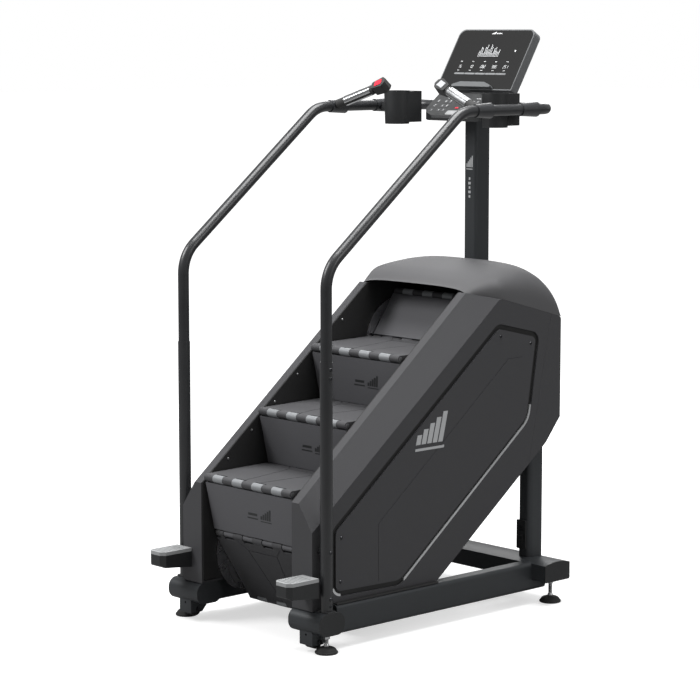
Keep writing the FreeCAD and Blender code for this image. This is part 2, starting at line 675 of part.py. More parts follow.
def belt_loop(a, b, gap):
    """A solid round both pulleys, larger than them by gap."""
    big, small = PULLEY_RADIUS + gap, ALTERNATOR_PULLEY_RADIUS + gap
    reach = span(a, b)
    lead = math.atan2(b[1] - a[1], b[0] - a[0])
    lean = math.acos((big - small) / reach)
    corners = []
    for centre, radius, side in ((a, big, 1), (b, small, 1), (b, small, -1), (a, big, -1)):
        turn = lead + side * lean
        corners.append((centre[0] + radius * math.cos(turn), centre[1] + radius * math.sin(turn)))
    middle = side_profile(corners, -PULLEY_X[1] + 2, -PULLEY_X[0] - 2)
    ends = [rod_x(a, -PULLEY_X[1] + 2, -PULLEY_X[0] - 2, big),
            rod_x(b, -PULLEY_X[1] + 2, -PULLEY_X[0] - 2, small)]
    return middle.fuse(ends).removeSplitter()


# ---- frame ----
def stadium(half_depth, half_height, centre_z, y=0.0):
    """The (Y, Z) corners of a flat-sided tube, rounded fully at both ends."""
    return rectangle(y - half_depth, y + half_depth, centre_z - half_height, centre_z + half_height)


def beam_block(inset, x0, x1):
    """The rear beam's solid: a rounded block under an arch, drawn in by inset."""
    y0, y1 = behind(BEAM_BEHIND[0]), behind(BEAM_BEHIND[1])
    half = (y1 - y0) / 2
    arch = half ** 2 / (2 * BEAM_SHOULDER) + BEAM_SHOULDER / 2
    block = side_profile(rectangle(y0 + inset, y1 - inset, BEAM_Z[0] + inset, BEAM_Z[1] - inset), x0, x1,
                         BEAM_CORNER - inset)
    return block.common(rod_x(((y0 + y1) / 2, BEAM_Z[1] - arch), x0, x1, arch - inset))


def make_frame():
    """Base rails, front tubes, rear beam, uprights, mast and their caps."""
    mid = STUB_BOTTOM + STUB_HEIGHT / 2
    x0, x1 = STUB_X[0], STUB_X[1] - CAP_THICKNESS
    outer = side_profile(stadium(STUB_DEPTH / 2, STUB_HEIGHT / 2, mid), x0, x1, STUB_HEIGHT / 2 - 0.5)
    inner = side_profile(stadium(STUB_DEPTH / 2 - FRAME_WALL, STUB_HEIGHT / 2 - FRAME_WALL, mid),
                         x0 + FRAME_WALL, x1 + 1, STUB_HEIGHT / 2 - FRAME_WALL - 0.5)
    stem = STEM_RADIUS + RUNNING_CLEARANCE
    foot = cylinder(stem, Vector(FOOT_X["front"], 0, 0),
                    Vector(FOOT_X["front"], 0, STUB_BOTTOM + STUB_HEIGHT / 2))
    stub = outer.cut(inner).cut(foot)
    keep("front_foot_tubes", both_sides(stub))
    stub_cap = side_profile(stadium(STUB_DEPTH / 2, STUB_HEIGHT / 2, mid), x1, STUB_X[1],
                            STUB_HEIGHT / 2 - 0.5)
    beam_solid = beam_block(0.0, -BEAM_HALF + CAP_THICKNESS, BEAM_HALF - CAP_THICKNESS)
    beam = beam_solid.cut(beam_block(FRAME_WALL, -BEAM_HALF, BEAM_HALF))
    rear_stem = cylinder(stem, Vector(FOOT_X["rear"], FOOT_Y["rear"], 0),
                         Vector(FOOT_X["rear"], FOOT_Y["rear"], BEAM_Z[0] + 30))
    beam = beam.cut(rear_stem).cut(mirrored(rear_stem))
    keep("rear_crossbeam", beam)
    beam_cap = beam_block(0.0, BEAM_HALF - CAP_THICKNESS, BEAM_HALF)
    keep("tube_end_caps", both_sides(stub_cap) + both_sides(beam_cap))
    half = RAIL_SIZE[0] / 2
    front, rear = STUB_DEPTH / 2, behind(RAIL_REAR_BEHIND)
    rail = front_profile(rectangle(RAIL_X - half, RAIL_X + half, RAIL_BOTTOM, RAIL_TOP), front, rear,
                         RAIL_CORNER)
    hollow = front_profile(rectangle(RAIL_X - half + FRAME_WALL, RAIL_X + half - FRAME_WALL,
                                     RAIL_BOTTOM + FRAME_WALL, RAIL_TOP - FRAME_WALL),
                           front - 1, rear - FRAME_WALL, RAIL_CORNER - FRAME_WALL)
    front_close = box(RAIL_X - half + 8, RAIL_X + half - 8, front, front + FRAME_WALL,
                      RAIL_BOTTOM + FRAME_WALL - 1, RAIL_TOP - FRAME_WALL + 1)
    rail = rail.cut(hollow).fuse(front_close).cut(beam_solid)
    keep("base_rails", both_sides(max(rail.Solids, key=lambda piece: piece.Volume)))
    across, deep = UPRIGHT_SIZE
    y = behind(UPRIGHT_BEHIND)
    upright = hollow_post(UPRIGHT_X, y, across, deep, BEAM_Z[0] + BEAM_SHOULDER, above(-UPRIGHT_TOP_BELOW),
                          UPRIGHT_CORNER)
    keep("rear_uprights", both_sides(upright.cut(beam_solid)))
    across, deep = MAST_SIZE
    y = behind(MAST_BEHIND)
    foot_z = above(-MAST_FOOT_BELOW)
    mast = hollow_post(0.0, y, across, deep, foot_z, above(MAST_TOP_ABOVE), MAST_CORNER)
    lid_z = above(MAST_TOP_ABOVE) - FRAME_WALL
    mast = mast.fuse(box(-across / 2 + 2, across / 2 - 2, y - deep / 2 + 2, y + deep / 2 - 2, lid_z,
                         lid_z + FRAME_WALL))
    cross = box(-PLATE_X[0], PLATE_X[0], y - deep / 2, y + deep / 2, foot_z - CROSS_HEIGHT, foot_z)
    cross = cross.cut(box(-PLATE_X[0] - 1, PLATE_X[0] + 1, y - deep / 2 + 4, y + deep / 2 - 4,
                          foot_z - CROSS_HEIGHT + 4, foot_z - 4))
    keep("console_mast", mast.fuse(cross))


def hollow_post(x, y, across, deep, z0, z1, corner, wall=FRAME_WALL):
    """An upright rounded-rectangle tube."""
    outer = plan_profile(rectangle(x - across / 2, x + across / 2, y - deep / 2, y + deep / 2), z0, z1,
                         corner)
    inner = plan_profile(rectangle(x - across / 2 + wall, x + across / 2 - wall,
                                   y - deep / 2 + wall, y + deep / 2 - wall), z0 - 1, z1 + 1, corner - wall)
    return outer.cut(inner)


def post_room(x, y, size, z0, z1):
    """The space that a post needs through a body panel."""
    across, deep = size[0] / 2 + 2, size[1] / 2 + 2
    return plan_profile(rectangle(x - across, x + across, y - deep, y + deep), z0, z1, 11.0)


# ---- body ----
def cover_outline(top):
    """The (Y, Z) outline of a side cover: top 'rim' at its inner step or 'edge' at its outer face."""
    if top == "rim":
        end_y, line = behind(RIM_END_BEHIND), rim_z
    else:
        end_y, line = behind(EDGE_END_BEHIND), edge_z
    split_top = behind(SPLIT_TOP_BEHIND)
    split_foot = behind(SPLIT_FOOT_BEHIND)
    column_back = STUB_DEPTH / 2 + 2
    return [(FRONT_Y, COLUMN_BOTTOM), (FRONT_Y, line(FRONT_Y)), (end_y, line(end_y)),
            (SEAM[0][0] + 4, seam_z(SEAM[0][0] + 4) - FIT_GAP), (split_top, seam_z(split_top) - FIT_GAP),
            (split_foot, belly_z(split_foot)), BELLY_START, (column_back, BELLY_START[1]),
            (column_back, COLUMN_BOTTOM)]


def ruled_between(outline_a, xa, outline_b, xb):
    """A solid between two outlines with the same number of corners."""
    wires = [rounded_wire([Vector(x, y, z) for y, z in outline], 0.0)
             for outline, x in ((outline_a, xa), (outline_b, xb))]
    return Part.makeLoft(wires, True, True)


def panel_corners():
    """The six corners of the access panel."""
    rear_y = behind(SPLIT_TOP_BEHIND) - PANEL_REAR_INSET
    knee_y = rear_y - 45.0
    turn_y = behind(SEAM_FRONT[0]) - 11.0
    foot_y = BELLY_START_Y - PANEL_ABOVE_BELLY
    return [(PANEL_FRONT_Y, PANEL_FOOT_Z), (PANEL_FRONT_Y, edge_z(PANEL_FRONT_Y) - PANEL_BELOW_EDGE),
            (turn_y, edge_z(turn_y) - PANEL_BELOW_EDGE - 4), (rear_y, seam_z(rear_y) - PANEL_BELOW_SEAM),
            (knee_y, belly_z(knee_y) + PANEL_ABOVE_BELLY), (foot_y, PANEL_FOOT_Z - 6)]


PANEL_RADII = [24.0, 30.0, 30.0, 20.0, 70.0, 70.0]


def make_covers():
    """Side covers, access panels, accent strips and inner plates."""
    rim, edge = cover_outline("rim"), cover_outline("edge")
    cover = side_profile(rim, PLATE_X[1] + FIT_GAP, RIM_X)
    cover = cover.fuse(ruled_between(rim, RIM_X, edge, BODY_X))
    for outline, depth in ((outset(rim, -2 * SKIN), RIM_X - 2 * SKIN),
                           (outset(edge, -2 * SKIN), BODY_X - SIDE_WALL)):
        cover = cover.cut(side_profile(outline, 0, depth))
    corners = panel_corners()
    recess = outset(corners, CHANNEL_WIDTH)
    grow = [radius + CHANNEL_WIDTH for radius in PANEL_RADII]
    floor_x = BODY_X - PANEL_THICKNESS
    cover = cover.cut(side_profile(match_order(recess, corners), floor_x, BODY_X + 1, grow))
    upright = post_room(UPRIGHT_X, behind(UPRIGHT_BEHIND), UPRIGHT_SIZE, RAIL_TOP,
                        above(-UPRIGHT_TOP_BELOW) + 3)
    half = RAIL_SIZE[0] / 2 + FIT_GAP
    rail = box(RAIL_X - half, RAIL_X + half, STUB_DEPTH / 2 - FIT_GAP, behind(RAIL_REAR_BEHIND),
               RAIL_BOTTOM, RAIL_TOP + FIT_GAP)
    cover = cover.cut(upright).cut(rail).cut(NODES["hood"])
    keep_pair("side_cover", max(cover.Solids, key=lambda piece: piece.Volume))
    panel = side_profile(corners, floor_x, BODY_X, PANEL_RADII).cut(panel_line())
    keep("side_panels", both_sides(panel))
    outer_gap, inner_gap = CHANNEL_WIDTH - FIT_GAP, CHANNEL_WIDTH - FIT_GAP - STRIP_WIDTH
    band = side_profile(match_order(outset(corners, outer_gap), corners), floor_x, BODY_X - 1,
                        [radius + outer_gap for radius in PANEL_RADII])
    band = band.cut(side_profile(match_order(outset(corners, inner_gap), corners), 0, BODY_X + 1,
                                 [radius + inner_gap for radius in PANEL_RADII]))
    knee, foot = corners[4], corners[5]
    low_side = side_profile([(foot[0] + 20, foot[1] - 60), (knee[0] + 80, foot[1] - 60),
                             (knee[0] + 80, knee[1] + 45),
                             (knee[0] - 30, knee[1] + 45), (foot[0] + 20, foot[1] + 40)], 0, BODY_X + 1)
    corner_bit = box(0, BODY_X + 1, corners[0][0] - 40, corners[0][0] + 22, corners[0][1] - 40,
                     corners[0][1] + 12)
    pieces = solids_of(band.common(low_side)) + solids_of(band.common(corner_bit))
    keep("accent_strips", [both_sides(piece) for piece in pieces])
    plate = [(FRONT_Y + 4, RAIL_TOP), (FRONT_Y + 4, rim_z(FRONT_Y + 4) - 1),
             (behind(RIM_END_BEHIND), rim_z(behind(RIM_END_BEHIND)) - 1), (behind(210.0), above(30.0)),
             (behind(360.0), above(10.0)), (behind(385.0), seam_z(behind(385.0)) - 20),
             (behind(SPLIT_FOOT_BEHIND - 8), belly_z(behind(SPLIT_FOOT_BEHIND - 8)) + 14),
             (BELLY_START_Y - 6, RAIL_TOP + 10), (BELLY_START_Y - 6, RAIL_TOP)]
    wall = side_profile(plate, PLATE_X[0], PLATE_X[1])
    flange = box(PLATE_X[1] - 1, RAIL_X + RAIL_SIZE[0] / 2 - 4, STUB_DEPTH / 2 + 4, BELLY_START_Y - 10,
                 RAIL_TOP, RAIL_TOP + SKIN)
    wall = wall.fuse(flange)
    for centre in (HIGH, LOW):
        wall = wall.cut(rod_x(centre, 0, BODY_X, SHAFT_RADIUS + 2))
    wall = wall.cut(NODES["hood"])
    keep("inner_plates", both_sides(max(wall.Solids, key=lambda piece: piece.Volume)))


def panel_line():
    """The shallow line cut across the face of an access panel."""
    front_y = PANEL_FRONT_Y + PANEL_LINE_INSET
    rear_y = behind(SPLIT_TOP_BEHIND) - PANEL_REAR_INSET - PANEL_LINE_END
    bend_y = rear_y - PANEL_LINE_RUN_OUT
    line = [(front_y, PANEL_FOOT_Z + 6), (front_y, edge_z(front_y) - PANEL_LINE_BELOW)]
    line += [(bend_y, edge_z(bend_y) - PANEL_LINE_BELOW), (rear_y, edge_z(bend_y) - PANEL_LINE_BELOW)]
    cuts = []
    for (y0, z0), (y1, z1) in zip(line, line[1:]):
        cut = box(BODY_X - LINE_DEPTH, BODY_X + 1, 0, span((y0, z0), (y1, z1)), -LINE_WIDTH / 2,
                  LINE_WIDTH / 2)
        cuts.append(lay(cut, (y0, z0), (y1, z1)))
        cuts.append(rod_x((y1, z1), BODY_X - LINE_DEPTH, BODY_X + 1, LINE_WIDTH / 2))
    return cuts[0].multiFuse(cuts[1:])


def match_order(points, reference):
    """The points of an offset outline, each put beside the reference corner it came from."""
    return [min(points, key=lambda p: span(p, corner)) for corner in reference]


# Ridge of the hood seen from the side, behind and above the top nosing, and the radius of each corner.
HOOD_RIDGE = [(83.0, 57.0, 30.0), (176.0, 85.0, 150.0), (290.0, 92.0, 150.0), (376.0, 76.0, 90.0),
              (432.0, 10.0, 60.0)]
# Right half of its arch seen from the front: half-width, height above the seam, corner radius.
HOOD_ARCH = [(334.0, 0.0, 0.0), (309.0, 108.0, 45.0), (228.0, 158.0, 60.0)]


def hood_solid(inset):
    """The hood's outer shape, or its hollow when inset: ridge, arch and plan taken together."""
    seam_slope = (SEAM[1][1] - SEAM[0][1]) / (SEAM[1][0] - SEAM[0][0])
    lip = top_point(HOOD_LIP)
    below = 60.0 if inset else 0.0
    ridge = [(lip[0] + inset, lip[1] - below), (lip[0] + inset, lip[1] + 4.0 - inset)]
    radii = [0.0, 0.0]
    for back, up, radius in HOOD_RIDGE:
        ridge.append((behind(back) - (inset if back > 400.0 else 0.0), above(up) - inset))
        radii.append(radius)
    ridge += [(behind(REAR_BEHIND) - inset, SEAM[1][1] - below), (SEAM[0][0], SEAM[0][1] - below)]
    radii += [0.0, 0.0]
    solid = side_profile(ridge, -BODY_X, BODY_X, radii)
    right = [(x - inset, z - inset * (z > 0.0), radius) for x, z, radius in HOOD_ARCH]
    left = [(-x, z, radius) for x, z, radius in reversed(right)]
    corners = right + left + [(-right[0][0], -400.0, 0.0), (right[0][0], -400.0, 0.0)]
    start = lip[0] - 40.0
    wire = rounded_wire([Vector(x, start, seam_z(start) + z) for x, z, radius in corners],
                        [radius for x, z, radius in corners])
    run = behind(REAR_BEHIND) + 40.0 - start
    solid = solid.common(Part.Face(wire).extrude(Vector(0, run, run * seam_slope)))
    plan = [(HOOD_LIP_HALF - inset, lip[0] - 1), (BODY_X - inset, SEAM[0][0]),
            (BODY_X - inset, behind(REAR_BEHIND) + 1)]
    plan += [(-x, y) for x, y in reversed(plan)]
    return solid.common(plan_profile(plan, above(-400.0), above(400.0)))


def make_hood():
    """Hood over the top of the flight, and the rear cover below it."""
    mast = post_room(0.0, behind(MAST_BEHIND), MAST_SIZE, 0, above(MAST_TOP_ABOVE))
    hood = hood_solid(0.0).cut(hood_solid(SKIN)).cut(mast)
    keep("hood", max(hood.Solids, key=lambda piece: piece.Volume))
    split_top, split_foot = behind(SPLIT_TOP_BEHIND) + FIT_GAP, behind(SPLIT_FOOT_BEHIND) + FIT_GAP
    rear = behind(REAR_BEHIND)
    outline = [(split_top, seam_z(split_top) - FIT_GAP), (SEAM[1][0], SEAM[1][1] - FIT_GAP),
               (rear, SEAM[1][1] - 8), (rear, above(-REAR_STRAIGHT_BELOW)), REAR_FOOT_PLACE,
               (split_foot, belly_z(split_foot))]
    cover = side_profile(outline, -BODY_X, BODY_X)
    inner = [(split_top - 30, seam_z(split_top) + 20), (rear - SKIN, SEAM[1][1] + 20),
             (rear - SKIN, above(-REAR_STRAIGHT_BELOW) + 2),
             (REAR_FOOT_PLACE[0] - 2, REAR_FOOT_PLACE[1] + 5),
             (split_foot - 60, belly_z(split_foot - 60) + 5)]
    cover = cover.cut(side_profile(inner, -BODY_X + SKIN, BODY_X - SKIN))
    for x in (UPRIGHT_X, -UPRIGHT_X):
        cover = cover.cut(post_room(x, behind(UPRIGHT_BEHIND), UPRIGHT_SIZE, RAIL_TOP,
                                    above(-UPRIGHT_TOP_BELOW) + 3))
    keep("rear_cover", max(cover.Solids, key=lambda piece: piece.Volume))


# ---- handrails ----
def make_handrails():
    """Posts, upper rails, collars, grips with contact plates, and the two grip buttons."""
    post = cylinder(LOWER_TUBE_RADIUS, Vector(HANDRAIL_X, 0, STUB_BOTTOM + STUB_HEIGHT),
                    Vector(HANDRAIL_X, 0, POST_SEAM_Z))
    base = STUB_BOTTOM + STUB_HEIGHT
    post = post.fuse(box(HANDRAIL_X - 26, HANDRAIL_X + 26, -18, 18, base, base + POST_PLATE))
    post = post.fuse(cylinder(12.0, Vector(BODY_X + FIT_GAP, 0, 340), Vector(HANDRAIL_X, 0, 340)))
    post = post.cut(cylinder(LOWER_TUBE_RADIUS - TUBE_WALL, Vector(HANDRAIL_X, 0, base - 1),
                             Vector(HANDRAIL_X, 0, POST_SEAM_Z + 1)))
    keep("handrail_posts", both_sides(post))
    top_y, top_z = top_point(HANDRAIL_TOP)
    rear_y = behind(HANDRAIL_REAR_BEHIND)
    points = [Vector(HANDRAIL_X, 0, POST_SEAM_Z), Vector(HANDRAIL_X, 0, HANDRAIL_CORNER_Z),
              Vector(HANDRAIL_X, top_y, top_z), Vector(HANDRAIL_X, rear_y, top_z),
              Vector(MAST_SIZE[0] / 2, rear_y, top_z)]
    keep_pair("handrail", bent_tube(points, UPPER_TUBE_RADIUS,
                                    [HANDRAIL_BEND, HANDRAIL_BEND, HANDRAIL_REAR_BEND], TUBE_WALL))
    collars = []
    for start, end in (FRONT_COLLAR, REAR_COLLAR):
        collar = Part.makeCone(COLLAR_RADII[0], COLLAR_RADII[1], end - start,
                               Vector(HANDRAIL_X, behind(start), top_z), Vector(0, 1, 0))
        bore = cylinder(UPPER_TUBE_RADIUS + RUNNING_CLEARANCE, Vector(HANDRAIL_X, behind(start) - 1, top_z),
                        Vector(HANDRAIL_X, behind(end) + 1, top_z))
        collars += both_sides(collar.cut(bore))
    keep("rail_collars", collars)
    make_grips(top_z)


def grip_frame(top_z):
    """Start point and the three axes of the right-hand grip: along it, across it, and out of its face."""
    start = Vector(HANDRAIL_X, behind(GRIP_START_BEHIND), top_z)
    tip = Vector(GRIP_TIP[0], behind(GRIP_TIP[1]), above(GRIP_TIP[2]))
    u = (tip - start).normalize()
    face = Vector(0, GRIP_FACE[0], GRIP_FACE[1])
    w = (face - u * face.dot(u)).normalize()
    return start, tip, u, w.cross(u), w


def placed(shape, origin, u, v, w):
    """A shape drawn on local axes, moved to origin with its X, Y, Z along u, v, w."""
    matrix = FreeCAD.Matrix(u.x, v.x, w.x, origin.x, u.y, v.y, w.y, origin.y,
                            u.z, v.z, w.z, origin.z, 0, 0, 0, 1)
    moved = shape.copy()
    moved.Placement = FreeCAD.Placement(matrix)
    return moved


def make_grips(top_z):
    start, tip, u, v, w = grip_frame(top_z)
    length = (tip - start).Length
    reach = length - POD_LENGTH / 2
    bar = Part.makeCylinder(GRIP_RADIUS, reach, Vector(0, 0, 0), Vector(1, 0, 0))
    wide, tall = TIP_POD_SIZE
    end, half = reach + POD_LENGTH, wide / 2
    pod_outline = [(reach, POD_SHOULDER - half), (end - POD_CHAMFER, -half), (end, POD_CHAMFER - half),
                   (end, half - POD_CHAMFER), (end - POD_CHAMFER, half), (reach, half - POD_SHOULDER)]
    pod_wire = rounded_wire([Vector(x, y, -tall / 2) for x, y in pod_outline], POD_CORNER)
    pod = Part.Face(pod_wire).extrude(Vector(0, 0, tall))
    long, across, deep = BUTTON_SIZE
    gap = 2 * FIT_GAP
    button_x = reach + POD_LENGTH / 2 - long / 2
    button_z = tall / 2 - deep + BUTTON_STAND
    well = Part.makeBox(long + gap, across + gap, deep + BUTTON_TRAVEL,
                        Vector(button_x - gap / 2, -across / 2 - gap / 2, button_z - BUTTON_TRAVEL))
    grip = placed(bar.fuse(pod).cut(well), start, u, v, w)
    rail_core = cylinder(COLLAR_RADII[1] + FIT_GAP, Vector(HANDRAIL_X, 0, top_z),
                         Vector(HANDRAIL_X, behind(HANDRAIL_REAR_BEHIND), top_z))
    keep("grips", both_sides(max(grip.cut(rail_core).Solids, key=lambda piece: piece.Volume)))
    button = Part.makeBox(long, across, deep, Vector(button_x, -across / 2, button_z))
    button = placed(button, start, u, v, w)
    keep("speed_button", button)
    keep("stop_button", mirrored(button))
    shell = Part.makeCylinder(GRIP_RADIUS + CONTACT_THICKNESS, reach - CONTACT_START - CONTACT_END,
                              Vector(CONTACT_START, 0, 0), Vector(1, 0, 0))
    shell = shell.cut(Part.makeCylinder(GRIP_RADIUS + RUNNING_CLEARANCE, reach, Vector(0, 0, 0),
                                        Vector(1, 0, 0)))
    contacts = []
    for low in (CONTACT_SPLIT, -CONTACT_SPLIT - 2 * GRIP_RADIUS):
        room = Part.makeBox(reach, 4 * GRIP_RADIUS, 2 * GRIP_RADIUS, Vector(0, -2 * GRIP_RADIUS, low))
        contacts += both_sides(placed(shell.common(room), start, u, v, w))
    keep("pulse_contacts", contacts)


def make_cup_holders():
    """A round cup with a square pocket behind it, on an arm from the rear collar."""
    y, z0, z1 = behind(CUP_BEHIND), above(CUP_ABOVE[0]), above(CUP_ABOVE[1])
    wall = CUP_WALL
    base = Vector(CUP_X, y, z0)
    cup = Part.makeCone(CUP_RADIUS - CUP_TAPER, CUP_RADIUS, z1 - z0, base, Vector(0, 0, 1))
    pocket_end = y + CUP_RADIUS + POCKET_DEPTH
    inner_x = CUP_X - CUP_RADIUS + 2
    pocket = plan_profile([(inner_x, y), (CUP_X, y), (CUP_X + POCKET_HALF, y + CUP_RADIUS / 2),
                           (CUP_X + POCKET_HALF, pocket_end), (inner_x, pocket_end)],
                          z0 + POCKET_LIFT, z1 - 2, [2.0, 2.0, 6.0, 10.0, 14.0])
    top_z = above(HANDRAIL_TOP[1])
    arm = box(CUP_X + CUP_RADIUS / 2, HANDRAIL_X, y + ARM_Y[0], y + ARM_Y[1],
              top_z + ARM_Z[0], top_z + ARM_Z[1])
    holder = cup.fuse(pocket).fuse(arm)
    holder = holder.cut(cylinder(COLLAR_RADII[1] + FIT_GAP, Vector(HANDRAIL_X, y, top_z),
                                 Vector(HANDRAIL_X, behind(HANDRAIL_REAR_BEHIND), top_z)))
    holder = max(holder.Solids, key=lambda piece: piece.Volume)
    room = Part.makeCone(CUP_RADIUS - CUP_TAPER - wall, CUP_RADIUS - wall, z1 - z0,
                         base + Vector(0, 0, wall),
                         Vector(0, 0, 1))
    holder = holder.cut(room)
    slot = plan_profile(rectangle(inner_x + wall, CUP_X + POCKET_HALF - wall, y + CUP_RADIUS + wall,
                                  pocket_end - wall),
                        z0 + POCKET_LIFT + wall, z1 + 1, 4.0)
    keep("cup_holders", both_sides(holder.cut(slot)))


# ---- console ----
def make_console():
    """Housing with glass and ledge on a tilted board, and the keypad pod below it."""
    foot_y, foot_z = top_point(BOARD_FOOT)
    tilt = math.radians(BOARD_TILT)
    origin = Vector(0, foot_y, foot_z)
    u, v = Vector(1, 0, 0), Vector(0, math.sin(tilt), math.cos(tilt))
    w = u.cross(v)
    half, high = BOARD_WIDTH / 2, BOARD_HEIGHT
    outline = [(-half, 0), (half, 0), (half, high), (-half, high)]
    radii = [4.0, 4.0, BOARD_CORNER, BOARD_CORNER]
    board = Part.Face(rounded_wire([Vector(x, y, -BOARD_THICKNESS) for x, y in outline],
                                   radii)).extrude(Vector(0, 0, BOARD_THICKNESS))
    low, top = GLASS_MARGIN, high - GLASS_MARGIN
    inset = [(low - half, low), (half - low, low), (half - low, top), (low - half, top)]
    glass = Part.Face(rounded_wire([Vector(x, y, -GLASS_THICKNESS) for x, y in inset],
                                   radii)).extrude(Vector(0, 0, GLASS_THICKNESS))
    mast_y, mast_top = behind(MAST_BEHIND), above(MAST_TOP_ABOVE)
    neck = box(-NECK_HALF, NECK_HALF, mast_y + NECK_Y[0], mast_y + NECK_Y[1],
               mast_top, mast_top + NECK_HEIGHT)
    pane = placed(glass, origin, u, v, w)
    keep("console_glass", pane)
    housing = placed(board.fuse(board_ledge()), origin, u, v, w).fuse(neck)
    housing = housing.cut(pane).cut(post_core(mast_y))
    housing = max(housing.Solids, key=lambda piece: piece.Volume)
    keep("console_housing", housing)
    mast_front = mast_y - MAST_SIZE[1] / 2
    nose = (mast_front - KEYPAD_REACH, above(KEYPAD_NOSE_ABOVE))
    outline = [(mast_front + 8, foot_z - 6), (nose[0] - 2, nose[1]), (nose[0] - 6, nose[1] - 12),
               (nose[0] + 4, nose[1] - 20), (mast_front - 1, nose[1] + 14), (mast_front - 1, nose[1] + 40),
               (mast_front + 8, nose[1] + 44)]
    pod = side_profile(outline, -KEYPAD_HALF, KEYPAD_HALF, 5.0)
    half = KEYPAD_HALF
    plan_corners = [(-half, mast_front + 20), (-half, nose[0] + 18), (-half / 2 + 5, nose[0] - 12),
                    (half / 2 - 5, nose[0] - 12), (half, nose[0] + 18), (half, mast_front + 20)]
    side, front = KEYPAD_CORNERS
    plan = plan_profile(plan_corners, nose[1] - 60, foot_z + 20, [0.0, side, front, front, side, 0.0])
    pod = pod.common(plan).cut(post_core(mast_y))
    pod = pod.cut(housing)
    keep("keypad_pod", max(pod.Solids, key=lambda piece: piece.Volume))


def board_ledge():
    """A shallow lip along the foot of the board, standing out of it."""
    outline = [Vector(x, y, 0) for x, y in LEDGE] + [Vector(-x, y, 0) for x, y in reversed(LEDGE)]
    return Part.Face(rounded_wire(outline, LEDGE_CORNER)).extrude(Vector(0, 0, LEDGE_DEPTH))


def post_core(mast_y):
    """The mast's own space, for pieces that butt against it."""
    across, deep = MAST_SIZE[0] / 2, MAST_SIZE[1] / 2
    return box(-across, across, mast_y - deep, mast_y + deep, 0, above(MAST_TOP_ABOVE))


# ---- pegs, transport wheels, feet ----
def make_pegs():
    """Foot pegs on the front of the side covers, with ribbed caps."""
    x0, x1 = PEG_X
    root, tip = FRONT_Y - FIT_GAP, FRONT_Y - FIT_GAP - PEG_LENGTH
    outline = [(root, PEG_Z[0]), (root, PEG_Z[2]), (tip, PEG_Z[2]), (tip, PEG_Z[1]),
               (tip + 12, PEG_Z[1] - 8)]
    peg = side_profile(outline, x0, x1)
    plan = plan_profile([(x0, root), (x0, tip + PEG_CHAMFER), (x0 + PEG_CHAMFER, tip),
                         (x1 - PEG_CHAMFER, tip), (x1, tip + PEG_CHAMFER), (x1, root)],
                        PEG_Z[0] - 1, PEG_Z[2] + PEG_CAP_HEIGHT + 1)
    keep("foot_pegs", both_sides(peg.common(plan)))
    cap = box(x0, x1, tip, root, PEG_Z[2], PEG_Z[2] + PEG_CAP_HEIGHT).common(plan)
    groove, pitch, depth = PEG_RIB
    top = PEG_Z[2] + PEG_CAP_HEIGHT
    for k in range(1, int((PEG_LENGTH - groove) / pitch)):
        y = tip + k * pitch
        cap = cap.cut(box(x0 + PEG_RIB_MARGIN, x1 - PEG_RIB_MARGIN, y, y + groove, top - depth, top + 1))
    keep("peg_caps", both_sides(cap))


def make_transport():
    """Brackets and wheels under the front tubes."""
    x0, x1 = BRACKET_X
    sheet = BRACKET_SHEET
    front = BRACKET_FRONT_Y
    mid = STUB_BOTTOM + STUB_HEIGHT / 2
    stub = side_profile(stadium(STUB_DEPTH / 2 + FIT_GAP / 5, STUB_HEIGHT / 2 + FIT_GAP / 5, mid), 0,
                        BODY_X + 99, STUB_HEIGHT / 2 - 0.4)
    bracket = box(x0, x1, front, front + sheet, BRACKET_BOTTOM, BRACKET_TOP)
    cheek = [(front, BRACKET_BOTTOM), (front, mid), (BRACKET_REAR_Y, mid),
             (BRACKET_REAR_Y, BRACKET_BOTTOM + 20), (BRACKET_REAR_Y - 20, BRACKET_BOTTOM)]
    for left in (x0, x1 - sheet):
        bracket = bracket.fuse(side_profile(cheek, left, left + sheet))
    hole_place = Vector((x0 + x1) / 2, front - 1, STUB_BOTTOM - 2)
    hole = Part.makeCylinder(BRACKET_HOLE_RADIUS, sheet + 2, hole_place, Vector(0, 1, 0))
    axle_room = rod_x(WHEEL_PLACE, x0 - 1, x1 + 1, AXLE_RADIUS + RUNNING_CLEARANCE)
    keep("transport_brackets", both_sides(bracket.cut(stub).cut(hole).cut(axle_room)))
    middle = (x0 + x1) / 2
    wheel = rod_x(WHEEL_PLACE, middle - WHEEL_WIDTH / 2, middle + WHEEL_WIDTH / 2, WHEEL_RADIUS)
    wheel = wheel.cut(rod_x(WHEEL_PLACE, x0, x1, AXLE_RADIUS + RUNNING_CLEARANCE))
    keep_pair("transport_wheel", wheel)


